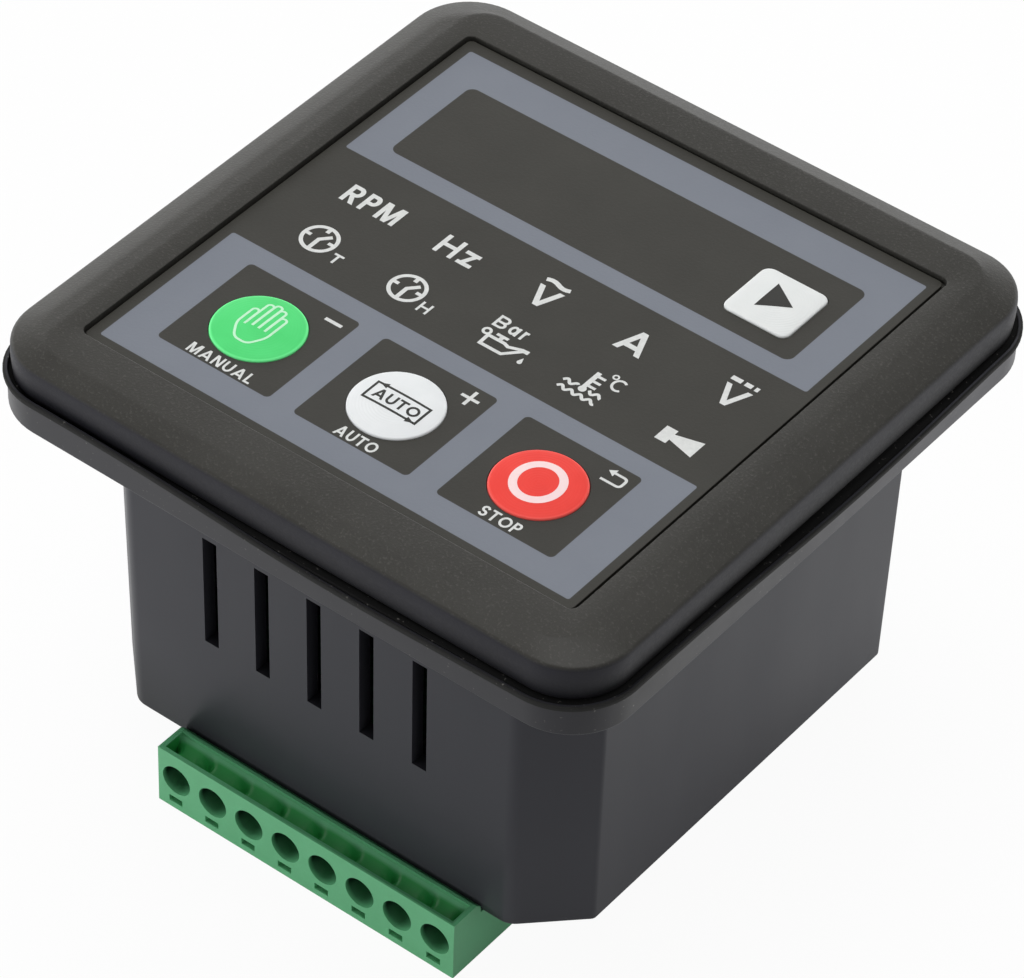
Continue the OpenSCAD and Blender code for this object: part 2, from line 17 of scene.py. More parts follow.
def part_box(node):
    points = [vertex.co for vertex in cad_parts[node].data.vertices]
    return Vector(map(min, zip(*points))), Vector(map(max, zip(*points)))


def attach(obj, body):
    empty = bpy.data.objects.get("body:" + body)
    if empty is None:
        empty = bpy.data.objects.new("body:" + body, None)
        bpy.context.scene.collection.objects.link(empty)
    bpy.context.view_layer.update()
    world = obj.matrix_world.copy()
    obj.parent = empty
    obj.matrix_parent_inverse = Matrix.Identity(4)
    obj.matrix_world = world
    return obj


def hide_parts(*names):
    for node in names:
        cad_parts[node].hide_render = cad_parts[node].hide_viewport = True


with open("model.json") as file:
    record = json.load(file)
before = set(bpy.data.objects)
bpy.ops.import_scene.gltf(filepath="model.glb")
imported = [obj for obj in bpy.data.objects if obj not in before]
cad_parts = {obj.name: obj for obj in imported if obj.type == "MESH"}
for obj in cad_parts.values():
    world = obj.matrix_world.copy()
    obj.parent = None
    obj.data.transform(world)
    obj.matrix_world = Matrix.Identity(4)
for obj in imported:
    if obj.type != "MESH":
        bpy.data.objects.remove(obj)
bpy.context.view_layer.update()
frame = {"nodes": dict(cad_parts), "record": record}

MM = 0.001

# %% [markdown]
# ## Surfaces from arrays
# Nearly every piece here is a stack of outlines: a rounded rectangle, a circle or a square with cut
# corners, drawn again and again at other heights and widths. A modelling tool would call that a
# loft. Worked out as one numpy array, the whole stack is a grid, and its faces follow from the
# grid's numbering alone. Flat faces with holes are filled by a triangulation instead.


# %% Outlines
def rounded_rectangle(half_x, half_y, radius, steps=14):
    """Outline walked anticlockwise. A corner's points are its centre plus radius times (cos a, sin a),
    with the angle a running through a quarter turn; straight sides join the four corners."""
    turn = (np.arange(4)[:, None] * np.pi / 2 + np.linspace(0, np.pi / 2, steps + 1)).ravel()
    side_x = np.repeat([1, -1, -1, 1], steps + 1)
    side_y = np.repeat([1, 1, -1, -1], steps + 1)
    return np.stack([side_x * (half_x - radius) + radius * np.cos(turn),
                     side_y * (half_y - radius) + radius * np.sin(turn)], -1)


def circle(radius, steps=64):
    """Outline of a circle: radius times (cos a, sin a) over a whole turn."""
    turn = np.linspace(0, 2 * np.pi, steps, endpoint=False)
    return radius * np.stack([np.cos(turn), np.sin(turn)], -1)


print("points of a circle:", len(circle(1.0)), "of a rounded square:", len(rounded_rectangle(2, 2, 1)))


# %% Lofts, walls and sheets
def raised(outline, height):
    """A flat outline lifted to one height, or to one height for each point."""
    return np.column_stack([outline, np.broadcast_to(height, len(outline))])


def loft(rings):
    """Quads between successive rings of the same number of points. Corner k of ring j joins its
    neighbours k + 1 and j + 1, and the last corner of a ring joins the first."""
    levels, count = rings.shape[:2]
    index = np.arange(levels * count).reshape(levels, count)
    low, high = index[:-1], index[1:]
    faces = np.stack([low, np.roll(low, -1, 1), np.roll(high, -1, 1), high], -1)
    return rings.reshape(-1, 3), faces.reshape(-1, 4)


def walls(outlines, start, end):
    """The upright walls of outlines, from one height to another: lofts of two rings each."""
    return [loft(np.stack([raised(o, start), raised(o, end)])) for o in outlines]


def sheet(outer, holes=()):
    """Triangles that fill an outline and leave the outlines of its holes open."""
    loops = [outer, *holes]
    fill = tessellate_polygon([raised(loop, 0.0).tolist() for loop in loops])
    return np.concatenate(loops), np.array(fill)


def flat(outer, holes, height):
    """A sheet at one height."""
    points, faces = sheet(outer, holes)
    return raised(points, height), faces


def softened(levels, reach, steps=5):
    """A stack of levels whose inner corners are rounded: near the corner B, the straight runs A-B
    and B-C give way to the curve (1-t)^2 A + 2t(1-t) B + t^2 C, with A and C at distance reach from
    B, or at most 0.86 of the run."""
    levels = np.asarray(levels, float)
    t = np.linspace(0, 1, steps + 1)[:, None]
    out = [levels[:1]]
    for before, corner, after, r in zip(levels[:-2], levels[1:-1], levels[2:], reach):
        to_a, to_c = before - corner, after - corner
        a = corner + to_a * min(0.86, r / np.abs(to_a).max())
        c = corner + to_c * min(0.86, r / np.abs(to_c).max())
        out.append((1 - t) ** 2 * a + 2 * t * (1 - t) * corner + t ** 2 * c)
    return np.concatenate(out + [levels[-1:]])


print("faces of a round wall:", len(walls([circle(1.0)], 0, 1)[0][1]))


# %% Patches made into pieces
def moved(patch, x=0.0, y=0.0, z=0.0):
    """A patch shifted by a distance."""
    return patch[0] + np.array([x, y, z]), patch[1]


def turned(patch):
    """A patch turned half round about the upright axis: (x, y) becomes (-x, -y)."""
    return patch[0] * np.array([-1, -1, 1]), patch[1]


def joined(*patches):
    """The points and faces of several patches as one."""
    points, faces, start = [], [], 0
    for p, f in patches:
        points.append(p)
        faces += (np.asarray(f) + start).tolist()
        start += len(p)
    return np.concatenate(points), faces


def add_piece(name, patch, body, finish, replaces=(), sharp=32, closed=True):
    """Puts a patch, in millimetres, into a mesh object that rides on a body of the packed model."""
    points, faces = patch
    mesh = bpy.data.meshes.new(name)
    mesh.from_pydata(points * MM, [], faces)
    work = bmesh.new()
    work.from_mesh(mesh)
    bmesh.ops.remove_doubles(work, verts=work.verts, dist=1e-7)
    if closed:
        bmesh.ops.recalc_face_normals(work, faces=work.faces)
    work.to_mesh(mesh)
    work.free()
    mesh.polygons.foreach_set("use_smooth", np.ones(len(mesh.polygons), bool))
    mesh.set_sharp_from_angle(angle=np.radians(sharp))
    mesh.materials.append(finish)
    piece = bpy.data.objects.new(name, mesh)
    bpy.context.scene.collection.objects.link(piece)
    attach(piece, body)
    if replaces:
        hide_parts(*replaces)
    size = np.ptp(points, axis=0)
    print(f"{name}: {len(mesh.polygons)} faces, {size[0]:.1f} x {size[1]:.1f} x {size[2]:.1f} mm")
    return piece


# %% [markdown]
# ## Shader sums
# A finish is a chain of nodes, and most of the chain is arithmetic. The class below stands for one
# output socket, so that `1 - mask` or `x * 1000` adds the Math node that it means. Every other node
# comes from its one method `node`, which takes the type, then the settings, then the sockets.


# %% A wire in a node tree
class Wire:
    """One output socket. Sums of wires and numbers add Math nodes; numbers alone stay in Python."""

    def __init__(self, tree, socket=None):
        self.tree, self.socket = tree, socket

    def node(self, kind, settings=None, sockets=None, output=0):
        """Adds a node of any type: its settings first, then the values or wires of its sockets."""
        made = self.tree.nodes.new(kind)
        for key, value in (settings or {}).items():
            setattr(made, key, value)
        for key, value in (sockets or {}).items():
            if isinstance(value, Wire):
                self.tree.links.new(value.socket, made.inputs[key])
            else:
                made.inputs[key].default_value = value
        return Wire(self.tree, made.outputs[output] if made.outputs else None)

    def sum(self, operation, *values):
        """A Math node of one operation on wires and numbers."""
        return self.node("ShaderNodeMath", {"operation": operation}, dict(enumerate(values)))

    def __add__(self, other):
        return self.sum("ADD", self, other)

    def __sub__(self, other):
        return self.sum("SUBTRACT", self, other)

    def __rsub__(self, other):
        return self.sum("SUBTRACT", other, self)

    def __mul__(self, other):
        return self.sum("MULTIPLY", self, other)

    def __truediv__(self, other):
        return self.sum("DIVIDE", self, other)

    def __rtruediv__(self, other):
        return self.sum("DIVIDE", other, self)

    def __pow__(self, other):
        return self.sum("POWER", self, other)

    def __abs__(self):
        return self.sum("ABSOLUTE", self)

    __radd__, __rmul__ = __add__, __mul__

    def least(self, other):
        return self.sum("MINIMUM", self, other)

    def most(self, other):
        return self.sum("MAXIMUM", self, other)

    def held(self):
        """The value kept between 0 and 1."""
        return self.least(1.0).most(0.0)

    def tint(self, low, high):
        """A colour that runs from low, where this wire is 0, to high, where it is 1."""
        return self.node("ShaderNodeMix", {"data_type": "RGBA"}, {0: self, 6: low, 7: high}, 2)

    def axes(self, count=3):
        """The first parts of a vector, x, y and z, as wires of their own."""
        return [self.node("ShaderNodeSeparateXYZ", None, {0: self}, i) for i in range(count)]


print("reflected operators of a wire:", sum(name.startswith("__r") for name in vars(Wire)))


# %% Start and end of a finish
def bare_tree(owner):
    """The emptied node tree of a material or a world."""
    owner.use_nodes = True
    owner.node_tree.nodes.clear()
    return Wire(owner.node_tree)


def start_finish(name):
    """An empty material, a wire on its Object coordinates and wires on their x, y and z in mm."""
    finish = bpy.data.materials.new(name)
    place = bare_tree(finish).node("ShaderNodeTexCoord", output="Object")
    return finish, place, [part * (1 / MM) for part in place.axes()]


def noise(place, grain, detail=2.0, rough=0.5):
    """Cloudy noise about 0.5 whose spots are about grain millimetres across."""
    return place.node("ShaderNodeTexNoise", None, {"Vector": place, "Scale": 1 / MM / grain,
                                                   "Detail": detail, "Roughness": rough})


def stretched(place, x, y, z):
    """Coordinates scaled along each axis, so that a pattern on them is drawn out along the smallest."""
    return place.node("ShaderNodeMapping", None, {"Vector": place, "Scale": (x, y, z)})


def end_finish(place, colour, roughness, relief=None, depth=0.0, **constants):
    """Closes a material with a Principled shader; relief is a height whose 0 to 1 is depth mm."""
    sockets = {"Base Color": colour, "Roughness": roughness}
    if relief is not None:
        sockets["Normal"] = place.node("ShaderNodeBump", None,
                                       {"Height": relief, "Distance": depth * MM, "Strength": 1.0})
    for key, value in constants.items():
        sockets[key.replace("_", " ")] = value
    shader = place.node("ShaderNodeBsdfPrincipled", None, sockets)
    place.node("ShaderNodeOutputMaterial", None, {"Surface": shader})


def shade(r, g, b):
    """A colour given as screen values from 0 to 255, as the linear colour that a shader takes."""
    v = np.array([r, g, b]) / 255
    linear = np.where(v <= 0.04045, v / 12.92, ((v + 0.055) / 1.055) ** 2.4)
    return (*linear.tolist(), 1.0)


print("grey 128 is", round(shade(128, 128, 128)[0], 3), "in linear light")

# %% [markdown]
# ## Sizes
# The packed model says where the solids are. The heights below are read from its boxes; the widths
# repeat the part's own values, because an outline's radius can't be read from a box.

# %% Heights and widths in millimetres
z_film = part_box("panel_overlay")[1][2] / MM
z_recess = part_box("panel_overlay")[0][2] / MM
z_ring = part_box("front_bezel")[1][2] / MM
z_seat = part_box("panel_gasket")[0][2] / MM
z_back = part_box("rear_case")[0][2] / MM
gasket_t, plate_t, shadow_gap_h, shadow_gap_d = 3.2, 2.0, 0.2, 1.4
z_foot = z_seat + gasket_t
z_plate = z_recess - plate_t
bezel_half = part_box("front_bezel")[1][0] / MM
film_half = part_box("panel_overlay")[1][0] / MM
recess_half, recess_r, skirt_half, skirt_r = 32.0, 1.0, 36.85, 4.85
bezel_r = 7.25
gasket_wall, lip_half, lip_w = bezel_half + 0.4, bezel_half + 0.85, 0.55
key_r, scroll_half, scroll_r, key_gap = 5.15, 4.175, 1.1, 0.2


def middle(node):
    """Middle of a node's box, seen from above."""
    low, high = (np.array(corner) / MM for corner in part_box(node))
    return ((low + high) / 2)[:2]


key_at = {label: middle(f"{label}_key") for label in ("manual", "auto", "stop")}
scroll_at = middle("scroll_key")
print(f"film top {z_film:.2f}, ring top {z_ring:.2f}, bezel half width {bezel_half:.2f} mm")

# %% [markdown]
# ## Black mouldings
# The bezel is moulded with a fine spark-eroded grain on its face and a smoother side wall. The case
# is smoother still, with a faint sheen, and the gasket is rubber with a dusty bloom. All three are
# the same recipe: a dark colour that drifts a little, a roughness that drifts with it, and a relief
# of fine noise. Object coordinates keep the grain the same size on every piece.


# %% Bezel, case and gasket finishes
def grained_bezel():
    """Dark charcoal with grain on the face; below the crease the wall is smoother and bluer, and painted
    shade darkens it towards its foot, most on the right-hand side."""
    finish, place, (x, _, z) = start_finish("grained_bezel")
    wall = ((z_ring - 0.95 - z) * 3).held()
    right = ((x - 38) * 2).held()
    # low: painted shade, darkening the wall towards its foot, more on the right-hand side
    low = (((z_ring - 1.9 - z) / 3.2).held() * (0.75 + right * 0.5)).held()
    drift = noise(place, 9.0, 3.0)
    grain = noise(place, 0.3, 2.0, 0.6)
    fleck = ((grain - 0.56) * 7).held()
    face = (drift * 0.45 + fleck * 0.55).tint(shade(49, 48, 45), shade(76, 75, 71))
    side = (drift * 0.7 + fleck * 0.3).tint(shade(31, 31, 38), shade(43, 43, 51))
    colour = wall.tint(face, low.tint(side, shade(20, 20, 22)))
    rough = 0.4 + (grain - 0.5) * 0.25 + wall * 0.1
    end_finish(place, colour, rough, grain * (1 - wall * 0.6), 0.03, Specular_IOR_Level=0.4)
    return finish


def smooth_case():
    """Blue-black moulding: long faint flow marks, small pits and paler scuffs along the lower edge.
    Painted light makes the front wall lighter low down between its ends; painted shade makes it darker
    at that wall's left end and under the rim on the right."""
    finish, place, (x, y, z) = start_finish("smooth_case")
    flow = noise(stretched(place, 1.0, 1.0, 0.25), 14.0, 3.0)
    fine = noise(place, 0.5, 2.0)
    edge = ((z_back + 2.2 - z) * 0.7).held()
    scuff = ((noise(place, 1.6, 4.0, 0.65) - 0.66) * 5).held() * edge
    front = ((-31 - y) * 4).held() * ((17 - z) / 10).held()
    painted_rim_shadow = ((x - 31) * 4).held() * ((z - 42) / 6).held()
    # painted light: lighter low on the front wall, fading out at both ends
    painted_light = front * ((x + 24) / 20).held() * ((27 - x) / 4).held()
    # painted shade: darker low at the front wall's left end and under the rim on the right
    painted_shade = front * ((-12 - x) / 12).held() + painted_rim_shadow
    plain = painted_light.tint(flow.tint(shade(46, 46, 51), shade(54, 54, 60)), shade(66, 67, 72))
    plain = painted_shade.tint(plain, shade(28, 28, 32))
    colour = scuff.tint(plain, shade(120, 120, 122))
    rough = 0.43 + (flow - 0.5) * 0.2 + scuff * 0.2
    end_finish(place, colour, rough, fine, 0.004, Specular_IOR_Level=0.4,
               Specular_Tint=(0.92, 0.94, 1.0, 1.0))
    return finish


def bloomed_rubber():
    """Black rubber with specks of lint: olive and matt on the lip, greyer and smoother on the wall.
    Painted shade makes it black inside the lip; on the right, painted light makes the wall paler towards
    the back and painted shade darker towards the front. The distance out from the wall is that of a
    rounded square: the length of what passes the core, less the radius."""
    finish, place, (x, y, z) = start_finish("bloomed_rubber")
    bloom = noise(place, 6.0, 4.0, 0.6)
    lint = ((noise(place, 0.45, 1.0) - 0.7) * 9).held()
    qx, qy = ((abs(v) - (bezel_half - bezel_r)).most(0.0) for v in (x, y))
    out = (qx * qx + qy * qy) ** 0.5 - bezel_r - (gasket_wall - bezel_half)
    lip = ((out - 0.12) * 8).held()
    # inside: painted shade, black inside the lip
    inside = ((-0.04 - out) * 25).held() * ((z - z_seat - 0.5) * 4).held()
    wall = bloom.tint(shade(40, 40, 45), shade(51, 51, 56))
    right = ((x - gasket_wall + 0.5) * 4).held()
    # on the right the wall is paler towards the back, painted light, and darker towards the front,
    # painted shade
    wall = (right * ((y + 8) / 30).held()).tint(wall, shade(74, 74, 80))
    wall = (right * ((-12 - y) / 15).held()).tint(wall, shade(32, 32, 36))
    rubber = inside.tint(lip.tint(wall, shade(38, 38, 37)), shade(16, 16, 16))
    rough = 0.38 + (bloom - 0.5) * 0.2 + lip * 0.4 + inside * 0.5
    end_finish(place, lint.tint(rubber, shade(110, 108, 104)), rough, bloom, 0.01,
               Specular_IOR_Level=0.45)
    return finish


bezel_finish, case_finish, rubber_finish = grained_bezel(), smooth_case(), bloomed_rubber()
print("finishes:", bezel_finish.name, case_finish.name, rubber_finish.name)

# %% [markdown]
# ## The bezel
# The bezel is one moulding: a shallow recess for the printed film, a flat ring that is narrow at the
# sides and wide above and below, a shallow shoulder, a border that slopes to a soft crease, and a
# side wall that ends in a shadow gap above the gasket. A mesh modeller would extrude and bevel a
# square; here each of those edges is one level of a stack, and a level is four numbers: half width,
# half height, corner radius and height. Rounding the stack's corners rounds the real edges.

# %% Bezel border
crease_z, gap_z = z_ring - 0.95, z_foot + shadow_gap_h
groove_half, groove_r = bezel_half - shadow_gap_d, bezel_r - shadow_gap_d
bezel_levels = softened(
    [(recess_half, recess_half, recess_r, z_recess),
     (recess_half, recess_half, recess_r, z_ring),
     (34.4, 36.6, 3.5, z_ring),
     (36.5, 37.27, 6.0, z_ring - 0.25),
     (bezel_half - 0.1, bezel_half - 0.1, bezel_r - 0.1, crease_z),
     (bezel_half, bezel_half, bezel_r, z_ring - 2.0),
     (bezel_half - 0.07, bezel_half - 0.07, bezel_r - 0.07, z_ring - 3.5),
     (bezel_half - 0.25, bezel_half - 0.25, bezel_r - 0.25, gap_z),
     (groove_half, groove_half, groove_r, gap_z),
     (groove_half, groove_half, groove_r, z_foot),
     (skirt_half, skirt_half, skirt_r, z_foot),
     (skirt_half, skirt_half, skirt_r, z_plate)],
    reach=[0.15, 0.45, 0.6, 0.4, 0.6, 0.7, 0.3, 0.05, 0.1, 0.1])
border = loft(np.stack([raised(rounded_rectangle(hx, hy, r), z) for hx, hy, r, z in bezel_levels]))
print("bezel border:", len(bezel_levels), "levels")

# %% Front plate with its openings
digits_half, digits_at = (19.45, 6.7), (-6.2, 18.3)
light_half, light_x, light_pitch, light_rows = (2.5, 1.5), 1.4, 11.7, (3.6, -4.6)
light_at = [(light_x + i * light_pitch, y) for i in range(-2, 3) for y in light_rows]


def key_openings(gap, corner):
    """Outlines a gap wider than the keys: three circles and a square with rounded corners."""
    half = scroll_half + gap
    return [*(circle(key_r + gap) + at for at in key_at.values()),
            rounded_rectangle(half, half, corner, 6) + scroll_at]


plate_holes = key_openings(key_gap, scroll_r + key_gap)
plate_holes.append(rounded_rectangle(*digits_half, 0.2, 2) + np.array(digits_at))
plate_holes += [rounded_rectangle(*light_half, 0.2, 2) + np.array(at) for at in light_at]
bezel = joined(border,
               flat(rounded_rectangle(recess_half, recess_half, recess_r), plate_holes, z_recess),
               flat(rounded_rectangle(skirt_half, skirt_half, skirt_r), plate_holes, z_plate),
               *walls(plate_holes, z_recess, z_plate))
add_piece("bezel", bezel, "housing", bezel_finish, ["front_bezel"], sharp=40)

# %% [markdown]
# ## The printed film
# The face is a matt plastic film, printed from behind: black, with a blue-grey field around the dark
# display window and another around the key tiles. A picture would be the quick way, but it would
# blur close up. The fields are rounded boxes, and the distance to a rounded box is a short sum, so
# each edge stays sharp at any size.


# %% Film finish
def box_mask(x, y, x0, x1, y0, y1, radius, edge=0.05):
    """1 inside a rounded box and 0 outside: with q the distance past the box's core on each axis, the
    distance to its edge is the length of q less the radius, and the mask falls over edge mm."""
    qx = (abs(x - (x0 + x1) / 2) - ((x1 - x0) / 2 - radius)).most(0.0)
    qy = (abs(y - (y0 + y1) / 2) - ((y1 - y0) / 2 - radius)).most(0.0)
    return (0.5 - ((qx * qx + qy * qy) ** 0.5 - radius) / edge).held()


def printed_film():
    """Matt black film with blue-grey fields, a fine pebble and a faint unevenness of the ink."""
    finish, place, (x, y, _) = start_finish("printed_film")
    upper = box_mask(x, y, -30.4, 30.4, 8.7, 30.1, 0.3)
    window = box_mask(x, y, -26.5, 26.3, 11.3, 25.3, 1.0)
    lower = box_mask(x, y, -30.4, 30.4, -30.7, -9.7, 0.3)
    tiles = None
    for x0, x1 in ((-25.8, -10.9), (-7.7, 7.2), (10.8, 25.6)):
        tile = box_mask(x, y, x0, x1, -27.2, -12.3, 0.6)
        tiles = tile if tiles is None else tiles.most(tile)
    grey = upper * (1 - window) + lower * (1 - tiles)
    ink = noise(place, 7.0, 3.0)
    pebble = noise(place, 0.3, 2.0, 0.55)
    fleck = ((pebble - 0.64) * 5).held() * 0.3
    black = (ink * 0.7 + fleck).tint(shade(51, 50, 46), shade(66, 65, 60))
    field = (ink * 0.8 + fleck).tint(shade(116, 121, 131), shade(126, 131, 140))
    end_finish(place, grey.tint(black, field), 0.5 + (pebble - 0.5) * 0.2, pebble, 0.015,
               Specular_IOR_Level=0.4)
    return finish


film_finish = printed_film()
print("film finish:", len(film_finish.node_tree.nodes), "nodes")

# %% The film, with holes for the keys
film_edge, film_gap, film_r = 0.06, 0.07, 0.7
film_half_x, film_half_y, film_at = film_half - 0.12, film_half + 0.04, np.array((-0.12, -0.02))
film_levels = softened([(0.0, z_recess), (0.0, z_film), (2 * film_edge, z_film)], [film_edge], 3)


def film_outline(inset):
    """The film's outline, moved inwards. It lies to the left in its recess and against the lower
    edge, which leaves a gap along the right-hand one."""
    return rounded_rectangle(film_half_x - inset, film_half_y - inset, film_r - inset, 8) + film_at


film_side = loft(np.stack([raised(film_outline(inset), z) for inset, z in film_levels]))
film_holes = key_openings(film_gap, scroll_r)
film = joined(film_side, flat(film_outline(2 * film_edge), film_holes, z_film),
              flat(film_outline(0.0), film_holes, z_recess), *walls(film_holes, z_film, z_recess))
add_piece("face_film", film, "housing", film_finish, ["panel_overlay"], sharp=40)

# %% [markdown]
# ## Keys
# Each key is a moulded cap that stands a hair above the film. Its top is slightly domed, so it has a
# soft highlight where a flat disc would have none, and its rim is rounded. A round key is a profile
# turned about its own axis; the square scroll key uses the same crown over a rounded square. The tops
# show faint turned rings from the mould.


# %% Key finishes
def key_finish(name, low, high, ring, centre):
    """Satin cap colour with fine turned rings, (1 + sin 18 d) / 2 at d mm from the key's centre. The
    rim is paler by the share that ring gives: a painted highlight."""
    finish, place, (x, y, _) = start_finish(name)
    dx, dy = x - centre[0], y - centre[1]
    radius = (dx * dx + dy * dy) ** 0.5
    turns = radius * 18
    rings = turns.sum("SINE", turns) * 0.5 + 0.5
    cloud = noise(place, 3.0, 3.0)
    # rim: a paler rim, as much as ring gives, is a painted highlight
    rim = ((radius - (key_r - 0.35)) * 4).held() * ring
    rim_highlight = (*[min(1.0, v * 1.25 + 0.06) for v in high[:3]], 1.0)
    colour = rim.tint(cloud.tint(low, high), rim_highlight)
    rough = 0.42 + (cloud - 0.5) * 0.15
    end_finish(place, colour, rough, rings * 0.6 + cloud * 0.4, 0.012, Specular_IOR_Level=0.45)
    return finish


cap_finish = {
    "manual": key_finish("green_cap", shade(72, 212, 113), shade(86, 226, 129), 1.0, key_at["manual"]),
    "auto": key_finish("white_cap", shade(225, 228, 229), shade(237, 239, 240), 0.0, key_at["auto"]),
    "stop": key_finish("red_cap", shade(233, 57, 48), shade(244, 70, 60), 0.6, key_at["stop"]),
    "scroll": key_finish("scroll_cap", shade(222, 225, 224), shade(234, 236, 235), 0.0, scroll_at)}
print("key finishes:", ", ".join(finish.name for finish in cap_finish.values()))

# %% Key surfaces
key_proud, key_crown, key_rim = 0.15, 0.2, 0.25
flange_w, flange_t = 1.05, 0.75
z_rim = z_film + key_proud
z_key_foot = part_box("manual_key")[0][2] / MM
scroll_reach = scroll_half * np.sqrt(2)


def crown_height(outline, reach):
    """Height of the domed top: z_rim + key_crown (1 - (d / reach)^2), d being the distance to the
    middle."""
    return z_rim + key_crown * (1 - (outline ** 2).sum(-1) / reach ** 2)


def key_cap(outline, reach, flange):
    """Rings from the foot's middle round the flange, up the side, over the rim and in to the top's
    middle. Every ring is the same outline at another scale; the last ones follow the dome."""
    half = np.abs(outline).max()
    rings = [raised(flange * 0, z_key_foot), raised(flange, z_key_foot),
             raised(flange, z_key_foot + flange_t), raised(outline, z_key_foot + flange_t)]
    edge = crown_height(outline * (1 - key_rim / half), reach) - key_rim
    for a in np.linspace(0, np.pi / 2, 5):
        share = 1 - key_rim * (1 - np.cos(a)) / half
        rings.append(raised(outline * share, edge + key_rim * np.sin(a)))
    for share in np.linspace(1 - key_rim / half, 0, 9)[1:]:
        rings.append(raised(outline * share, crown_height(outline * share, reach)))
    return loft(np.stack(rings))


round_cap = key_cap(circle(key_r), key_r, circle(key_r + flange_w))
square_cap = key_cap(rounded_rectangle(scroll_half, scroll_half, scroll_r, 6), scroll_reach,
                     rounded_rectangle(scroll_half + flange_w, scroll_half + flange_w, scroll_r, 6))
caps = {label: moved(round_cap, *at) for label, at in key_at.items()}
caps["scroll"] = moved(square_cap, *scroll_at)
for label, cap in caps.items():
    add_piece(f"{label}_cap", cap, f"{label}_button", cap_finish[label],
              [f"{label}_key"], sharp=50)

# %% [markdown]
# ## Gasket
# A rubber frame lies between bezel and panel. It is a little wider than the bezel, and its upper edge
# has a lip that closes round the bezel's foot. Like the bezel it is a stack of rounded squares. A soft
# frame never lies quite flat, so its lip hangs in slow waves: a sum of cosines of the direction, added
# to each level's height, which a cloth simulation would only give by chance.

# %% Gasket surface
case_half_front, case_half_back, case_cut = 32.6, 31.95, 6.45
corner_share = 2 - np.sqrt(2)


def cut_corner(half, cut, soft, crisp, marks=(), steps=6):
    """Outline of a square with cut corners. Corner k lies between the faces whose normals point at
    45 k and 45 (k + 1) degrees; its arc has the centre corner - (n1 + n2) r / (1 + cos 45). Corners
    beside the upper and lower faces have the radius soft, the others crisp. Marks are the x places
    of extra points on the lower face, and turned half round on the upper one."""
    k = np.arange(8)
    inner = half - cut
    corner = np.array([(half, inner), (inner, half), (-inner, half), (-half, inner),
                       (-half, -inner), (-inner, -half), (inner, -half), (half, -inner)])
    normal = np.stack([np.cos(k * np.pi / 4), np.sin(k * np.pi / 4)], -1)
    radius = np.where(np.isin(k, (1, 2, 5, 6)), soft, crisp)[:, None]
    centre = corner - (normal + np.roll(normal, -1, 0)) * radius / (1 + np.sqrt(0.5))
    turn = k[:, None] * np.pi / 4 + np.linspace(0, np.pi / 4, steps + 1)
    arcs = centre[:, None] + radius[:, None] * np.stack([np.cos(turn), np.sin(turn)], -1)
    lower = np.column_stack([marks, np.full(len(marks), -half)])
    return np.concatenate([*arcs[:2], -lower, *arcs[2:6], lower, *arcs[6:]])


def gasket_outline(half):
    """Rounded square with 23 points along each straight side, at even shares of the way from one
    corner's end to the next one's start, so that the sides can sag."""
    corners = rounded_rectangle(half, half, bezel_r - bezel_half + half).reshape(4, -1, 2)
    start, end = corners[:, -1:], np.roll(corners[:, :1], -1, 0)
    share = np.linspace(0, 1, 25)[1:-1, None]
    return np.concatenate([corners, start + (end - start) * share], 1).reshape(-1, 2)


def gasket_ring(half, z, loose):
    """One level of the gasket, with a the direction of a point from the middle. What is loose hangs by
    0.07 + 0.52 cos a + 0.5 cos(4a - 0.66) mm, the wall's foot by 0.45 (1 + cos(a + 0.35)) mm."""
    outline = gasket_outline(half)
    a = np.arctan2(outline[:, 1], outline[:, 0])
    hang = 0.07 + 0.52 * np.cos(a) + 0.5 * np.cos(4 * a - 0.66)
    foot = 0.45 * (1 + np.cos(a + 0.35))
    return raised(outline, z - loose * hang - (1 - loose) * foot)


lip_low, lip_top = z_foot - 0.6, z_foot + 0.2
gasket_levels = softened(
    [(gasket_wall - 0.8, z_seat, 0), (gasket_wall, z_seat, 0), (gasket_wall, lip_low, 1),
     (lip_half, lip_low + 0.22, 1), (lip_half, lip_top, 1), (lip_half - lip_w, lip_top, 1),
     (lip_half - lip_w, z_foot, 1)],
    reach=[0.15, 0.15, 0.15, 0.2, 0.15])
gasket_rings = np.stack([gasket_ring(*level) for level in gasket_levels])
gasket_rings[-1, :, 2] = np.minimum(gasket_rings[-1, :, 2], z_foot)
gasket_hole = cut_corner(case_half_front + 0.2, case_cut, 0.3, 0.3)
gasket_webs = [flat(ring[:, :2], [gasket_hole], np.append(ring[:, 2], np.full(len(gasket_hole), z)))
               for ring, z in ((gasket_rings[0], z_seat), (gasket_rings[-1], z_foot))]
gasket = joined(loft(gasket_rings), *gasket_webs, *walls([gasket_hole], z_foot, z_seat))
add_piece("gasket", gasket, "housing", rubber_finish, ["panel_gasket"], sharp=45)

# %% [markdown]
# ## Rear case
# The case is a deep tub with drafted walls, cut corners, a rounded back edge and five slots in two of
# its walls. Cutting slots with booleans leaves long thin triangles that shade badly. Here the outline
# has points at the slots' edges and the stack has levels at their ends, so a slot is a set of grid
# cells that is simply left out; four quads per slot then line it to the inner wall.

# %% Case surface
case_wall, back_t, edge_r = 1.8, 2.0, 0.4
flange_half, flange_r = 36.65, 4.65
header_half, header_y, plug_x = (21.62, 4.4), 25.5, 1.7
arc_points = 7
z_floor = z_back + back_t
slot_w, slot_low, slot_high = 1.9, z_seat - 25.35, z_seat - 10.25
slot_x = -0.5 + (np.arange(5) - 2) * 7.0
slot_marks = np.stack([slot_x - slot_w / 2, slot_x + slot_w / 2], -1).ravel()


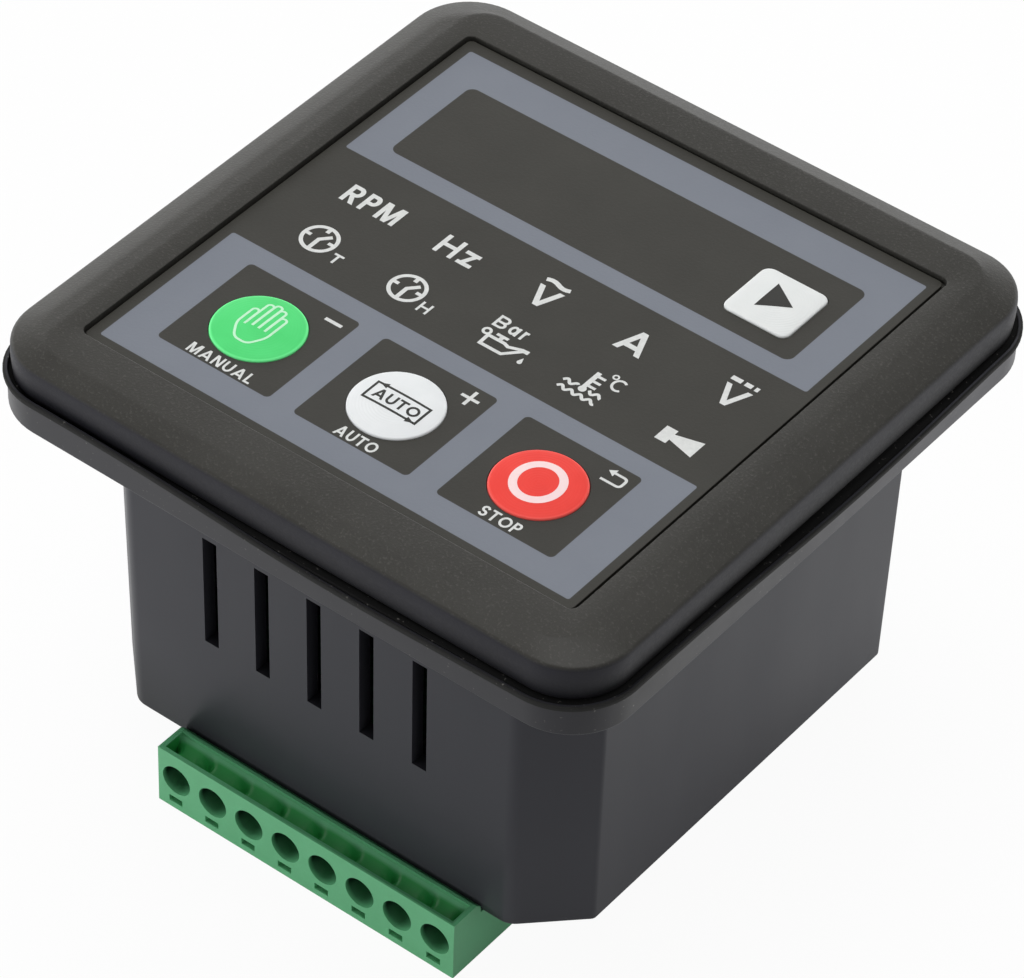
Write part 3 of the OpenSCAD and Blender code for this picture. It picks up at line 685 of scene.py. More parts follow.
def wall_half(z):
    """Half width of the drafted wall: it grows evenly from the back rounding to the flange."""
    share = (z - (z_back + edge_r)) / (z_plate - z_back - 2 * edge_r)
    return case_half_back + (case_half_front - case_half_back) * np.clip(share, 0, 1)


def case_ring(half, z, inset, soft, crisp):
    """Outline of the case at one height, moved inwards by inset."""
    cut = case_cut - corner_share * inset
    return raised(cut_corner(half - inset, cut, soft, crisp, slot_marks, arc_points - 1), z)


def slotted(rings, heights):
    """Loft without the cells that lie between a slot's two marks and its two ends. The marks come
    after the second corner's arc and after the sixth one's."""
    points, faces = loft(rings)
    cells = faces.reshape(len(heights) - 1, rings.shape[1], 4)
    first = 2 * arc_points + np.arange(len(slot_x)) * 2
    columns = np.concatenate([first, first + len(slot_marks) + 4 * arc_points])
    rows = [i for i, z in enumerate(heights[:-1]) if slot_low <= z < slot_high]
    keep = np.ones(cells.shape[:2], bool)
    keep[np.ix_(rows, columns)] = False
    return points, cells[keep]


bend = np.linspace(0, np.pi / 2, 6)
outer = [(edge_r * (1 - np.sin(a)), z_back + edge_r * (1 - np.cos(a))) for a in bend]
outer += [(0.0, slot_low), (0.0, slot_high), (0.0, z_foot)]
inner = [(case_wall, z) for z in (z_floor, slot_low, slot_high, z_plate)]
outer_r, inner_r = (2.4, 0.8), (0.8, 0.4)
outer_rings = np.stack([case_ring(wall_half(z), z, d, *outer_r) for d, z in outer])
inner_rings = np.stack([case_ring(wall_half(z), z, d, *inner_r) for d, z in inner])
slot_lining = []
for x0, x1 in slot_marks.reshape(-1, 2):
    corners = np.array([(x0, slot_low), (x1, slot_low), (x1, slot_high), (x0, slot_high)])
    mouth = np.column_stack([corners[:, 0], -wall_half(corners[:, 1]), corners[:, 1]])
    lining = loft(np.stack([mouth, mouth + np.array([0, case_wall, 0])]))
    slot_lining += [lining, turned(lining)]
header_hole = rounded_rectangle(*header_half, 0.2, 2)
header_holes = [header_hole + np.array((plug_x, -header_y)), header_hole + np.array((-plug_x, header_y))]
flange = rounded_rectangle(flange_half, flange_half, flange_r)
case = joined(
    slotted(outer_rings, [z for _, z in outer]),
    slotted(inner_rings, [z for _, z in inner]),
    *slot_lining,
    flat(outer_rings[0][:, :2], header_holes, z_back),
    flat(inner_rings[0][:, :2], header_holes, z_floor),
    *walls(header_holes, z_back, z_floor),
    flat(flange, [outer_rings[-1][:, :2]], z_foot),
    flat(flange, [inner_rings[-1][:, :2]], z_plate),
    *walls([flange], z_foot, z_plate))
add_piece("case", case, "housing", case_finish, ["rear_case"], sharp=30)

# %% [markdown]
# ## Terminal plugs
# A plug is a green block that pushes on to a header inside the case. Its outer face has a round wire
# hole for each pole with a small slot below it. Behind that face runs an open trough, and on the
# trough's sloping floor the tops of the wire tubes show as low humps with a notch between them: the
# floor is a height over x and y, made of a slope, a row of waves and a row of bells. The second plug,
# at the other edge of the back, is the same one turned half round.

# %% Plug sizes
pitch, poles = 5.08, 8
half_row, pole_x = poles * pitch / 2, (np.arange(poles) - (poles - 1) / 2) * pitch
reach, ledge_y, step_y, plug_in = 36.5, 32.75, 32.05, 21.3
plug_h, plug_top, chamfer_z = 8.0, z_back - 0.2, 7.4
mate_out, mate_in, mate_top = 28.6, 22.4, z_back + 7.1
wire_z, wire_r, well_r = 4.35, 1.92, 1.95
key_slot, key_slot_d = (-1.05, 0.8, 0.82, 1.7), 1.5
cage_y, cage_low = 31.1, 2.05
cage_front = cage_y + 2.5
trough_out, trough_in, trough_half = reach - 0.53, reach - 3.35, half_row - 0.6
trough_low, trough_high, hump_h = 6.1, 7.6, 0.12
notch_y, notch_d, notch_w, notch_l = 34.5, 1.3, 0.7, 0.65
print(f"plug: {len(pole_x)} poles, {2 * half_row:.2f} mm long")


# %% Terminal finish
def terminal_green():
    """Green terminal plastic, clouded and faintly grained. Painted shade makes it a darker, fuller green
    in the trough, darker on the shelf behind it and towards its right-hand end, and nearly black in the
    wire holes, darkest at their upper left. Both plugs share it: across counts poles from the middle of
    a point's own plug, and u, w are its place from a hole."""
    finish, place, (x, y, z) = start_finish("terminal_green")
    cloud = noise(place, 4.0, 4.0, 0.55)
    grain = noise(place, 0.4, 2.0)
    green = (cloud * 0.8 + grain * 0.2).tint(shade(95, 178, 124), shade(115, 198, 146))
    depth = abs(y)
    across = (x * y.sum("SIGN", y) * -1 - plug_x) / pitch
    row = ((half_row - 0.3 - abs(across * pitch)) * 4).held() * ((z - 5) * 3).held()
    # painted shade: a darker, fuller green in the trough
    within = ((depth - trough_in - 0.35) * 3).held() * ((trough_out + 0.1 - depth) * 8).held()
    trough = row * within * ((plug_h - 0.12 - z) * 8).held()
    # painted shade: darker on the shelf and towards the right-hand end
    shelf = ((33.3 - depth) * 0.9).held() * 0.75
    right_end_shade = ((depth - 33) / 3).held() * ((across + 3) / 5).held() * 0.5
    painted_shade = row * (shelf + right_end_shade) * ((reach - 0.15 - depth) * 8).held()
    u, w = (across - across.sum("FLOOR", across) - 0.5) * pitch, z - wire_z
    # painted shade: nearly black in the wire holes, darkest at their upper left
    bore = ((2.2 - (u * u + w * w) ** 0.5) * 8).held() * ((reach - depth) * 1.5).held()
    painted_hole_shade = (0.6 - u * 0.22 + w * 0.24).held() * bore
    colour = painted_shade.tint(trough.tint(green, shade(56, 174, 88)), shade(8, 76, 32))
    colour = painted_hole_shade.tint(colour, shade(6, 26, 16))
    end_finish(place, colour, 0.4 + (cloud - 0.5) * 0.25, grain, 0.012, Specular_IOR_Level=0.45)
    return finish


green_plastic = terminal_green()
print("terminal finish:", len(green_plastic.node_tree.nodes), "nodes")


# %% Wire face
def upright(patch, y):
    """A flat patch drawn in x and z, stood up at the depth y."""
    points, faces = patch
    return np.column_stack([points[:, 0], np.broadcast_to(y, len(points)), points[:, 1]]), faces


def tube(outline, start, end):
    """An outline in x and z carried from one depth to another."""
    return loft(np.stack([upright((outline, None), y)[0] for y in (start, end)]))


def box_outline(x0, x1, y0, y1):
    """Outline of a plain rectangle."""
    return np.array([(x0, y0), (x1, y0), (x1, y1), (x0, y1)], float)


wire_holes = [circle(wire_r, 40) + np.array((x, wire_z)) for x in pole_x]
key_slots = [box_outline(x + key_slot[0], x + key_slot[1], *key_slot[2:]) for x in pole_x]
face = box_outline(-half_row, half_row, 0, plug_h)
wire_face = upright(sheet(face, wire_holes + key_slots), -reach)
tubes = [tube(h, -reach, -cage_front) for h in wire_holes]
slot_pockets = [tube(s, -reach, -reach + key_slot_d) for s in key_slots]
slot_pockets += [upright(sheet(s), -reach + key_slot_d) for s in key_slots]
print("wire face:", len(wire_face[1]), "triangles round", len(wire_holes + key_slots), "openings")


# %% Trough
def trough_height(x, y):
    """Height of the trough's floor: it climbs evenly from trough_low at the front wall to trough_high
    at the back. Over each tube lies a hump hump_h (1 + cos(2 pi g / pitch)), g being the distance to
    the nearest pole, which fades as the floor climbs. Between poles and at both ends lies a notch
    notch_d exp(-a^2 - b^2), with a and b the distances along x and y over notch_w and notch_l."""
    g = np.abs(x[..., None] - pole_x).min(-1)
    climb = (trough_out - y) / (trough_out - trough_in)
    hump = hump_h * (1 + np.cos(2 * np.pi * g / pitch)) * (1 - climb)
    between = np.exp(-((pitch / 2 - g) / notch_w) ** 2)
    at_end = np.exp(-((trough_half - np.abs(x)) / notch_w) ** 2)
    notch = notch_d * (between + at_end) * np.exp(-((notch_y - y) / notch_l) ** 2)
    return trough_low + (trough_high - trough_low) * climb + hump - notch


def grid(points):
    """Quads between the neighbours of an array of points with rows and columns."""
    rows, columns = points.shape[:2]
    index = np.arange(rows * columns).reshape(rows, columns)
    faces = np.stack([index[:-1, :-1], index[:-1, 1:], index[1:, 1:], index[1:, :-1]], -1)
    return points.reshape(-1, 3), faces.reshape(-1, 4)


floor_x, floor_y = np.meshgrid(np.linspace(-trough_half, trough_half, 36 * poles + 1),
                               np.linspace(trough_out, trough_in, 17))
floor = np.stack([floor_x, -floor_y, trough_height(floor_x, floor_y)], -1)
brim = floor * np.array((1, 1, 0)) + np.array((0, 0, plug_h))
trough = [grid(floor)] + [grid(np.stack([brim[side], floor[side]])) for side in (0, -1)]
trough += [grid(np.stack([brim[:, side], floor[:, side]])) for side in (0, -1)]
mouth = np.concatenate([brim[0], brim[1:, -1], brim[-1, -2::-1], brim[-2:0:-1, 0]])[:, :2]
print(f"trough floor: {floor[..., 2].min():.2f} to {floor[..., 2].max():.2f} mm high")

# %% Plug surface
profile = np.array([(-reach, 0), (-reach, plug_h), (-ledge_y, plug_h), (-step_y, chamfer_z),
                    (-step_y, plug_top), (-mate_out, plug_top), (-mate_out, mate_top),
                    (-mate_in, mate_top), (-mate_in, plug_top), (-plug_in, plug_top), (-plug_in, 0)])
cheek, cheek_faces = sheet(profile)
cheeks = [np.column_stack([np.full(len(cheek), x), cheek]) for x in (-half_row, half_row)]
back = grid(np.stack(cheeks, 1)[2:])
wells = [circle(well_r, 32) + np.array((x, -cage_y)) for x in pole_x]
plug = joined(wire_face, *tubes, *slot_pockets, *trough,
              flat(box_outline(-half_row, half_row, -reach, -ledge_y), [mouth], plug_h),
              flat(box_outline(-half_row, half_row, -reach, -plug_in), wells, 0.0),
              *walls(wells, 0.0, cage_low), back, *[(points, cheek_faces) for points in cheeks])
lower_plug = moved(plug, plug_x)
for name, patch in (("lower", lower_plug), ("upper", turned(lower_plug))):
    add_piece(f"{name}_terminal", patch, "housing", green_plastic, [f"{name}_plug"])

# %% [markdown]
# ## Printed signs
# The symbols are printed in white ink: gauge dials, an oil can, a thermometer in water, a horn, and
# plain letters for what is measured. Each one is a flat ribbon of ink that lies a hair above the
# film. A ribbon is a path with a width: every point is moved sideways by half the width along the
# mean of its neighbours' normals, lengthened at a bend so that the ribbon keeps its width.


# %% Ink
def ink(name, low, high):
    """Printed ink: nearly even, with small thin spots."""
    finish, place, _ = start_finish(name)
    cover = noise(place, 0.5, 3.0, 0.6)
    end_finish(place, cover.tint(low, high), 0.5 + (cover - 0.5) * 0.2, Specular_IOR_Level=0.4)
    return finish


white_ink = ink("white_ink", shade(200, 202, 200), shade(232, 233, 231))
grey_ink = ink("grey_ink", shade(44, 44, 42), shade(60, 60, 57))
pale_green_ink = ink("pale_green_ink", shade(186, 240, 200), shade(206, 248, 216))
pale_red_ink = ink("pale_red_ink", shade(248, 214, 214), shade(252, 228, 228))
print("inks:", white_ink.name, grey_ink.name, pale_green_ink.name, pale_red_ink.name)


# %% Ribbons
def ribbon(path, width, closed=False):
    """Ink along a path: point p gives p + n w / 2 and p - n w / 2, with n the mitred normal there."""
    path = np.asarray(path, float)
    step = np.diff(np.vstack([path, path[:1]]) if closed else path, axis=0)
    side = np.stack([-step[:, 1], step[:, 0]], -1) / np.linalg.norm(step, axis=1)[:, None]
    if closed:
        before, after = np.roll(side, 1, 0), side
    else:
        before, after = np.vstack([side[:1], side]), np.vstack([side, side[-1:]])
    normal = (before + after) / (1 + (before * after).sum(-1))[:, None]
    left, right = path + normal * width / 2, path - normal * width / 2
    count = len(path)
    index = np.arange(count if closed else count - 1)
    after = (index + 1) % count
    return np.concatenate([left, right]), np.stack([index + count, after + count, after, index], -1)


def arc(centre, radius, start, end, steps=40):
    """Points of an arc between two angles in degrees: the centre plus the radius times (cos a, sin a).
    The radius may be one number or two half widths."""
    turn = np.radians(np.linspace(start, end, steps + 1))
    return np.asarray(centre) + np.broadcast_to(radius, 2) * np.stack([np.cos(turn), np.sin(turn)], -1)


def ring(centre, radius, width, steps=64):
    """A closed round ribbon."""
    return ribbon(arc(centre, radius, 0, 360, steps)[:-1], width, closed=True)


def blot(outline):
    """A filled outline."""
    return sheet(np.asarray(outline, float))


print("faces of a round ribbon:", len(ring((0, 0), 1.0, 0.2)[1]))


# %% Letters
def bowl(x, y, rx, ry, start, end):
    """The curved part of a letter."""
    return arc((x, y), (rx, ry), start, end, 16)


half_bowl = np.vstack([[(0, 1)], bowl(0.6, 0.74, 0.4, 0.26, 90, -90), [(0, 0.48)]])
# each letter: its width, its slanted strokes, and its other strokes, in a box one high and one wide
LETTERS = {
    "A": (0.95, [(0, 0, 0.5, 1), (1, 0, 0.5, 1)], [[(0.2, 0.24), (0.8, 0.24)]]),
    "B": (0.66, [], [[(0, 0), (0, 1)], half_bowl,
                     np.vstack([[(0, 0.48)], bowl(0.6, 0.24, 0.4, 0.24, 90, -90), [(0, 0)]])]),
    "C": (0.8, [], [bowl(0.5, 0.5, 0.5, 0.5, 48, 312)]),
    "H": (0.8, [], [[(0, 0), (0, 1)], [(1, 0), (1, 1)], [(0, 0.52), (1, 0.52)]]),
    "L": (0.55, [], [[(0, 1), (0, 0), (1, 0)]]),
    "M": (0.98, [(0.08, 1, 0.5, 0), (0.92, 1, 0.5, 0)], [[(0, 0), (0, 1)], [(1, 0), (1, 1)]]),
    "N": (0.8, [(0.06, 1, 0.94, 0)], [[(0, 0), (0, 1)], [(1, 0), (1, 1)]]),
    "O": (0.98, [], [bowl(0.5, 0.5, 0.5, 0.5, 0, 361)]),
    "P": (0.64, [], [[(0, 0), (0, 1)], half_bowl]),
    "R": (0.7, [(0.45, 0.46, 0.98, 0)], [[(0, 0), (0, 1)], half_bowl]),
    "S": (0.66, [], [np.vstack([bowl(0.5, 0.75, 0.46, 0.25, 35, 270),
                                bowl(0.5, 0.25, 0.5, 0.25, 80, -145)])]),
    "T": (0.75, [], [[(0, 1), (1, 1)], [(0.5, 0), (0.5, 1)]]),
    "U": (0.78, [], [np.vstack([[(0, 1)], bowl(0.5, 0.42, 0.5, 0.42, 180, 360), [(1, 1)]])]),
    "V": (0.92, [(0, 1, 0.5, 0), (1, 1, 0.5, 0)], []),
    "a": (0.52, [], [bowl(0.45, 0.34, 0.45, 0.34, 0, 361), [(1, 0), (1, 0.68)]]),
    "r": (0.3, [], [[(0, 0), (0, 0.68)], bowl(0.8, 0.4, 0.8, 0.28, 180, 90)]),
    "z": (0.62, [(0.92, 0.72, 0.08, 0)], [[(0, 0.7), (1, 0.7)], [(0, 0), (1, 0)]])}
print("letters:", "".join(LETTERS))


# %% Words
def word(text, x0, x1, y0, y1, weight, space=0.2):
    """Letters side by side in a box. A plain stroke is a ribbon, longer by half its weight at both
    ends; a slanted stroke is a parallelogram with level ends, as wide along x as its weight asks."""
    widths = np.array([LETTERS[c][0] for c in text])
    scale = (x1 - x0) / (widths.sum() + space * (len(text) - 1))
    starts = x0 + scale * (np.cumsum(widths + space) - widths - space)
    inset, patches = weight / 2, []
    for c, left, width in zip(text, starts, widths * scale):
        low = np.array((left + inset, y0 + inset))
        size = np.array((width - weight, y1 - y0 - weight))
        for xa, ya, xb, yb in LETTERS[c][1]:
            ends = np.stack([left + inset * 1.15 + (width - inset * 2.3) * np.array((xa, xb)),
                             y0 + (y1 - y0) * np.array((ya, yb))], -1)
            run = ends[1] - ends[0]
            wide = np.array((inset * np.hypot(*run) / abs(run[1]), 0))
            patches.append(blot([ends[0] - wide, ends[1] - wide, ends[1] + wide, ends[0] + wide]))
        for stroke in LETTERS[c][2]:
            path = low + size * np.asarray(stroke, float)
            if not np.allclose(path[0], path[-1], atol=0.05):
                lead, tail = path[0] - path[1], path[-1] - path[-2]
                path[0] += lead / np.hypot(*lead) * inset
                path[-1] += tail / np.hypot(*tail) * inset
            patches.append(ribbon(path, weight))
    return patches


print("strokes of a word:", len(word("AUTO", 0, 4, 0, 1, 0.2)))


# %% Printing
def finer(patch, rounds):
    """A flat patch cut into triangles, and each triangle into four at its edges' middles, over and
    over for a number of rounds."""
    points, faces = patch
    corners = points[np.concatenate([faces[:, [0, i, i + 1]] for i in range(1, faces.shape[1] - 1)])]
    for _ in range(rounds):
        middle = (corners + np.roll(corners, -1, 1)) / 2
        small = [np.stack([corners[:, i], middle[:, i], middle[:, i - 1]], 1) for i in range(3)]
        corners = np.concatenate(small + [middle])
    return corners.reshape(-1, 2), np.arange(len(corners) * 3).reshape(-1, 3)


def printed(name, patches, body, finish, height):
    """Flat patches laid at a height, or on a surface whose height is a function of x and y. Patches
    that cross lie layer_step apart, so that no two faces share a plane."""
    rounds = 2 if callable(height) else 0
    layers = []
    for layer, patch in enumerate(patches):
        points, faces = finer(patch, rounds)
        z = height(points) if callable(height) else height
        layers.append((raised(points, z + layer_step * (layer % 5)), faces))
    piece = add_piece(name, joined(*layers), body, finish, closed=False)
    work = bmesh.new()
    work.from_mesh(piece.data)
    bmesh.ops.reverse_faces(work, faces=[f for f in work.faces if f.normal.z < 0])
    work.to_mesh(piece.data)
    work.free()
    return piece


ink_lift, layer_step = 0.012, 0.001
ink_z = z_film + ink_lift
print(f"ink lies {ink_lift} mm above what it is printed on")

# %% Signs of the upper row
tilde_x = np.linspace(-0.65, 2.5, 25)
tilde = np.column_stack([tilde_x, 5.55 + 0.2 * np.sin((tilde_x + 0.65) / 3.15 * 2 * np.pi)])
upper_signs = [
    *word("RPM", -25.55, -18.35, 1.65, 4.6, 0.54), *word("Hz", -12.8, -7.85, 1.55, 4.65, 0.54),
    *word("V", -0.75, 2.5, 1.5, 4.65, 0.62), ribbon(tilde, 0.58),
    *word("A", 10.75, 14.25, 1.75, 5.35, 0.66), *word("V", 23.25, 26.55, 1.7, 4.85, 0.6),
    *[blot(box_outline(x0, x1, 5.42, 6.05)) for x0, x1 in ((23.2, 24.5), (24.9, 25.8), (26.15, 26.6))]]
printed("measure_signs", upper_signs, "housing", white_ink, ink_z)


# %% Signs of the lower row
def gauge(cx, cy):
    """A dial: a ring, three marks and a bent needle."""
    return [ring((cx, cy), 1.98, 0.45), ribbon([(cx, cy + 1.9), (cx, cy + 1.2)], 0.5),
            ribbon([(cx - 1.9, cy), (cx - 1.15, cy)], 0.45),
            ribbon([(cx + 1.15, cy), (cx + 1.9, cy)], 0.45),
            ribbon([(cx - 0.03, cy - 1.9), (cx - 0.03, cy - 0.1), (cx + 0.95, cy + 1.0)], 0.5)]


def ripple(x0, x1, y, phase):
    """A wavy line of water: y + 0.24 sin(2 pi (x - x0) / 1.18 + phase)."""
    x = np.linspace(x0, x1, 60)
    return ribbon(np.column_stack([x, y + 0.24 * np.sin((x - x0) / 1.18 * 2 * np.pi + phase)]), 0.36)


oil_can = [ribbon([(0.12, -5.05), (0.2, -6.72), (2.95, -6.72), (4.55, -4.95), (5.15, -4.95)], 0.42),
           ribbon([(0.0, -5.22), (2.3, -5.22), (2.85, -5.42), (4.35, -4.85), (5.15, -4.8)], 0.42),
           ring((-0.33, -4.8), 0.42, 0.32, 32), ribbon([(0.75, -4.52), (2.25, -4.52)], 0.38),
           ribbon([(1.55, -4.5), (1.55, -5.2)], 0.5),
           blot(np.vstack([[(5.2, -5.75)], arc((5.2, -6.5), 0.28, 20, -200, 16)]))]
thermometer = [ribbon([(12.55, -2.5), (12.55, -5.4)], 0.56),
               blot(arc((12.6, -5.55), 0.46, 0, 345, 23)),
               *[ribbon([(12.7, y), (13.72, y)], 0.36) for y in (-3.05, -3.95, -4.8)],
               ripple(10.2, 11.95, -5.5, -0.6), ripple(13.35, 15.0, -5.5, 2.2),
               ripple(10.25, 14.95, -6.62, -0.6), ring((14.22, -1.97), 0.3, 0.2, 28),
               ribbon(arc((15.25, -2.85), (0.72, 0.82), 48, 312), 0.3)]
horn = [blot(box_outline(22.6, 24.0, -6.65, -4.4)),
        blot([(23.95, -5.95), (27.2, -6.75), (27.2, -4.15), (23.95, -5.05)])]
lower_signs = [*gauge(-22.78, -4.72), *word("T", -20.05, -18.8, -6.9, -5.35, 0.3),
               *gauge(-10.8, -4.9), *word("H", -8.15, -6.8, -7.0, -5.4, 0.28),
               *word("Bar", -0.65, 3.5, -3.75, -1.85, 0.32, 0.18),
               *oil_can, *thermometer, *horn]
printed("warning_signs", lower_signs, "housing", white_ink, ink_z)

# %% Signs of the key tiles
back_arrow = softened([(22.1, -14.9), (24.5, -14.9), (24.5, -13.42), (22.85, -13.42)], [0.5, 0.5])
tile_signs = [*word("MANUAL", -22.2, -13.8, -26.9, -25.38, 0.27, 0.17),
              *word("AUTO", -2.7, 2.48, -26.9, -25.35, 0.27, 0.14),
              *word("STOP", 15.8, 20.72, -26.85, -25.3, 0.27, 0.15),
              blot(box_outline(-14.3, -12.1, -14.22, -13.78)),
              blot(box_outline(3.7, 5.95, -14.25, -13.85)),
              blot(box_outline(4.62, 5.02, -15.2, -12.85)),
              ribbon(back_arrow, 0.32), blot([(22.1, -13.42), (22.92, -12.87), (22.92, -13.97)])]
printed("tile_signs", tile_signs, "housing", white_ink, ink_z)


# %% Signs on the keys
def print_key(sign, label, patches, finish):
    """Prints a sign on a key, at the height of the key's own dome lifted by a hair."""
    at, dome = (scroll_at, scroll_reach) if label == "scroll" else (key_at[label], key_r)
    printed(sign, patches, f"{label}_button", finish,
            lambda points: crown_height(points - at, dome) + ink_lift)


def fingertip(x0, x1, top, foot):
    """Outline of a raised finger: up one side, over a round tip and down the other."""
    r = (x1 - x0) / 2
    return ribbon(np.vstack([[(x0, foot)], arc((x0 + r, top - r), r, 180, 0, 12), [(x1, foot)]]), 0.27)


palm = softened([(-20.71, -18.44), (-20.71, -20.54), (-19.51, -22.44), (-17.76, -22.49),
                 (-16.67, -20.64), (-16.67, -17.84)], [0.6, 0.6, 0.6, 0.6])
hand = [ribbon(palm, 0.28), fingertip(-20.71, -19.93, -17.64, -20.24),
        fingertip(-19.89, -19.13, -16.19, -19.94), fingertip(-19.09, -18.31, -15.84, -19.94),
        fingertip(-18.27, -17.49, -16.19, -19.94), fingertip(-17.45, -16.67, -17.09, -19.94)]
print_key("hand_sign", "manual", hand, pale_green_ink)
auto_box = [ribbon(box_outline(-3.73, 3.07, -20.87, -18.2), 0.29, closed=True),
            *word("AUTO", -3.08, 2.62, -20.34, -18.85, 0.29, 0.12),
            blot([(-3.43, -18.2), (-2.48, -17.8), (-2.48, -18.6)]),
            blot([(2.92, -20.87), (1.97, -21.27), (1.97, -20.47)])]
print_key("auto_sign", "auto", auto_box, grey_ink)
print_key("stop_sign", "stop", [ring((17.95, -19.62), (2.5, 2.68), 0.92)], pale_red_ink)
print_key("scroll_sign", "scroll", [blot([(18.46, 15.88), (21.86, 18.06), (18.46, 20.24)])], grey_ink)

# %% [markdown]
# ## Pieces inside
# Boards, relays and clamps show only through the slots, the wire holes and the wells under the plugs.
# Their solids from the packed model are kept, with finishes of their own kind: solder mask with copper
# under it, tinned brass, zinc-plated screws and plain moulded parts.


# %% Inner finishes
def solder_mask():
    """Green lacquer over a board, paler where a grid of copper tracks lies under it."""
    finish, place, _ = start_finish("solder_mask")
    track = place.node("ShaderNodeTexBrick", {"offset": 0.37},
                       {"Vector": place, "Scale": 160.0, "Mortar Size": 0.03, "Color1": (0, 0, 0, 1),
                        "Color2": (0.3, 0.3, 0.3, 1), "Mortar": (1, 1, 1, 1)}, "Fac")
    cloud = noise(place, 5.0, 2.0)
    colour = (track * 0.6 + cloud * 0.4).tint(shade(24, 86, 48), shade(52, 128, 78))
    end_finish(place, colour, 0.3 + cloud * 0.15, track, 0.03)
    return finish


def plated(name, low, high, rough):
    """Plated metal with fine scratches and a cloudy tarnish."""
    finish, place, _ = start_finish(name)
    cloud = noise(place, 2.0, 3.0)
    scratch = noise(stretched(place, 1.0, 12.0, 12.0), 1.5)
    end_finish(place, cloud.tint(low, high), rough + (scratch - 0.5) * 0.2, scratch, 0.006,
               Metallic=1.0)
    return finish


def moulded(name, low, high, rough):
    """Plain moulded part with a faint grain."""
    finish, place, _ = start_finish(name)
    cloud, grain = noise(place, 5.0, 3.0), noise(place, 0.4, 2.0)
    end_finish(place, cloud.tint(low, high), rough + (cloud - 0.5) * 0.15, grain, 0.01)
    return finish


inner_finish = {
    "circuit_board": solder_mask(), "terminal_green": green_plastic,
    "tinned_brass": plated("tinned_brass", shade(160, 156, 144), shade(196, 194, 184), 0.35),
    "plated_steel": plated("plated_steel", shade(168, 170, 172), shade(206, 208, 210), 0.3),
    "black_part": moulded("black_part", shade(30, 30, 32), shade(44, 44, 46), 0.45),
    "relay_case": moulded("relay_case", shade(30, 66, 130), shade(42, 82, 150), 0.3),
    "led_lens": moulded("led_lens", shade(206, 202, 184), shade(224, 220, 204), 0.25)}
print("inner finishes:", len(inner_finish))

# %% Finishes on the kept nodes
slot_of = {part["node"]: part["material_slot"] for part in frame["record"]["subparts"]}
kept = 0
for name, node in frame["nodes"].items():
    finish = inner_finish.get(slot_of.get(name))
    if finish is None:
        continue
    for slot in node.material_slots:
        slot.material = finish
    kept += 1
print("CAD nodes with a finish of this scene:", kept)

# %% [markdown]
# ## Floor, light and camera
# The photo is a studio picture on white: a wide soft light overhead, slightly to the left and behind,
# a smaller card above that shiny surfaces mirror, a low light in front and a weak one on the right.
# The floor is pale paper that keeps the object's shadow; the camera sees it as white through Light
# Path, so that no lamp has to burn it out. What mirrors it sees white only in part, a painted
# reflection with painted shade close to the object, in front and on the left, and the paper's own
# colour is darker in front, a painted shade. The surroundings are brightest low down behind the
# object. The camera stands high in front of the near corner with a long lens.

# %% Floor
floor_mesh = bpy.data.meshes.new("floor")
floor_mesh.from_pydata([(-4, -4, 0), (4, -4, 0), (4, 4, 0), (-4, 4, 0)], [], [(0, 1, 2, 3)])
floor_piece = bpy.data.objects.new("floor", floor_mesh)
bpy.context.scene.collection.objects.link(floor_piece)
paper = bpy.data.materials.new("paper")
wire = bare_tree(paper)
seen, mirrored, through = (wire.node("ShaderNodeLightPath", output=f"Is {kind} Ray")
                           for kind in ("Camera", "Glossy", "Transmission"))
spot_x, spot_y = wire.node("ShaderNodeTexCoord", output="Object").axes(2)
# painted reflection: far is 1 behind the object and 0 in front, clear is 0 close to it, sides is lower
# on the left, so what mirrors the floor sees painted shade there
far = ((0.09 - spot_x * 0.6 + spot_y * 0.8) / 0.06).held()
clear = (((spot_x * spot_x + spot_y * spot_y) ** 0.5 - 0.026) / 0.029).held()
sides = 0.42 + (spot_x * 20).held() * (0.38 + (spot_y * 15).held() * 0.2)
glow = seen * 0.95 + mirrored * (far * clear * sides) + through * 0.95
# painted shade: the paper is darker in front
painted_floor_shade = far.tint((0.5, 0.5, 0.5, 1), (0.88, 0.88, 0.88, 1))
matt = wire.node("ShaderNodeBsdfDiffuse", None, {"Color": painted_floor_shade})
white = wire.node("ShaderNodeEmission", None, {"Color": (1, 1, 1, 1), "Strength": 1.0})
wire.node("ShaderNodeOutputMaterial", None,
          {"Surface": wire.node("ShaderNodeMixShader", None, {0: glow, 1: matt, 2: white})})
floor_mesh.materials.append(paper)
print("floor finish:", len(paper.node_tree.nodes), "nodes")

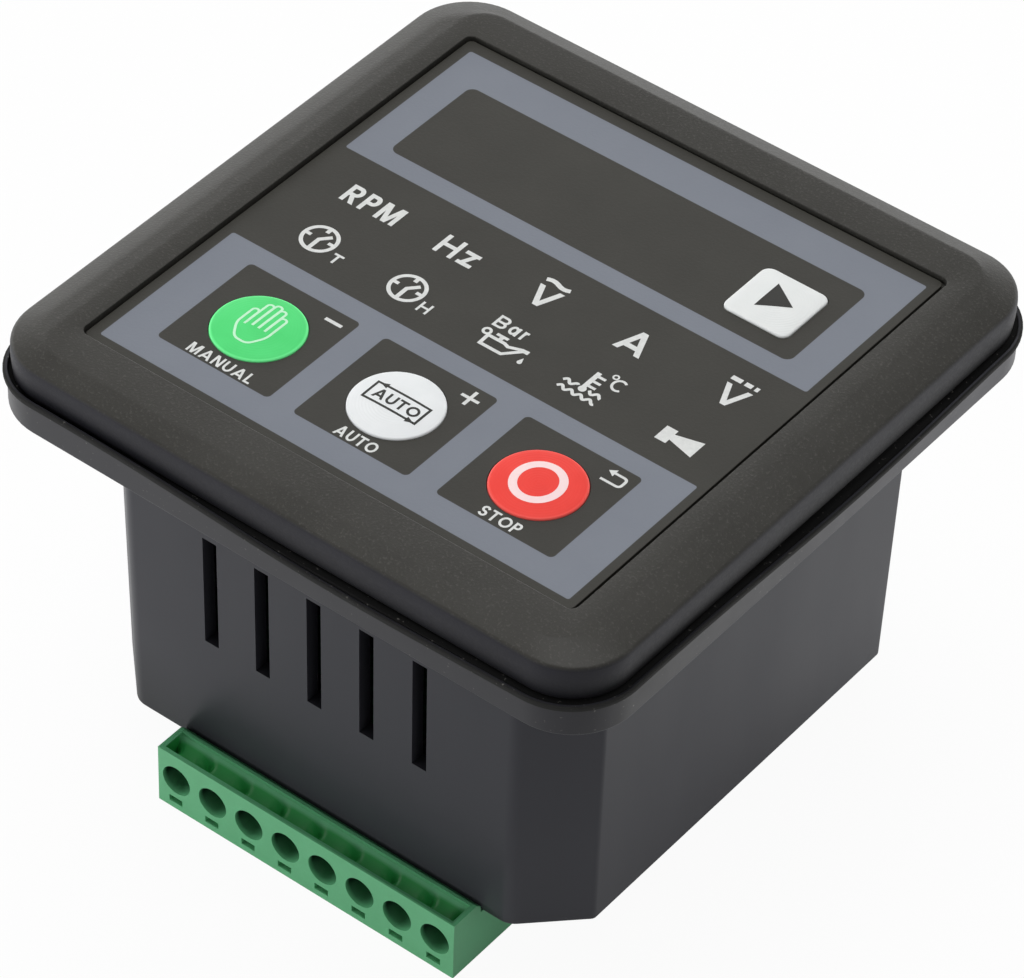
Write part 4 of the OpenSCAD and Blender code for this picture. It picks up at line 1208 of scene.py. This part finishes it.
# %% Surroundings and lamps
world = bpy.data.worlds.new("studio")
bpy.context.scene.world = world
wire = bare_tree(world)
aim_x, aim_y, aim_z = wire.node("ShaderNodeTexCoord", output="Object").axes()
behind = (aim_y * 0.6 - aim_x * 0.8) * 0.5 + 0.5
backdrop = ((0.52 - aim_z) * 5).held() * (0.15 + behind * behind * 1.8)
sky = wire.node("ShaderNodeBackground", None,
                {"Color": (1.0, 1.0, 1.0, 1), "Strength": 0.12 + backdrop})
wire.node("ShaderNodeOutputWorld", None, {"Surface": sky})


def lamp(name, place, aim, size, watts, mirrored=True):
    """A square soft light at a place, turned to face a point. Shiny surfaces show it if mirrored."""
    light = bpy.data.lights.new(name, "AREA")
    light.size, light.energy = size, watts
    holder = bpy.data.objects.new(name, light)
    holder.location, holder.visible_glossy = place, mirrored
    holder.rotation_euler = (Vector(aim) - Vector(place)).to_track_quat("-Z", "Y").to_euler()
    bpy.context.scene.collection.objects.link(holder)


lamp("overhead", (-0.25, 0.15, 1.0), (0, 0, 0.04), 0.8, 6.3, mirrored=False)
lamp("top_card", (0.0, 0.05, 1.0), (0, 0, 0.04), 0.7, 1.9)
lamp("front_fill", (-0.75, -0.95, 0.14), (0, 0, 0.02), 0.4, 5.2, mirrored=False)
lamp("side_fill", (0.95, -0.35, 0.55), (0, 0, 0.02), 0.4, 0.9, mirrored=False)
print("lamps:", ", ".join(light.name for light in bpy.data.lights))

# %% Camera
camera = bpy.data.cameras.new("camera")
camera.sensor_fit, camera.sensor_width, camera.lens = "HORIZONTAL", 36.0, 188.49
camera.clip_start = 0.01
camera_at = (0.25025, -0.33387, 0.42017)
right, down, ahead = np.array([(0.78433, 0.61975, 0.02733), (0.43887, -0.5232, -0.73052),
                               (-0.43843, 0.58496, -0.68235)])
turn = np.eye(4)
turn[:3, :3] = np.column_stack([right, -down, -ahead])
turn[:3, 3] = camera_at
holder = bpy.data.objects.new("camera", camera)
holder.matrix_world = Matrix(turn.tolist())
bpy.context.scene.collection.objects.link(holder)
bpy.context.scene.camera = holder
bpy.context.scene.view_settings.view_transform = "Standard"
print("camera lens", camera.lens, "mm")

# %% [markdown]
# ## The end
# Dressing a part must not change its size. At the end the view layer is brought up to date.

# %% Finish
bpy.context.view_layer.update()
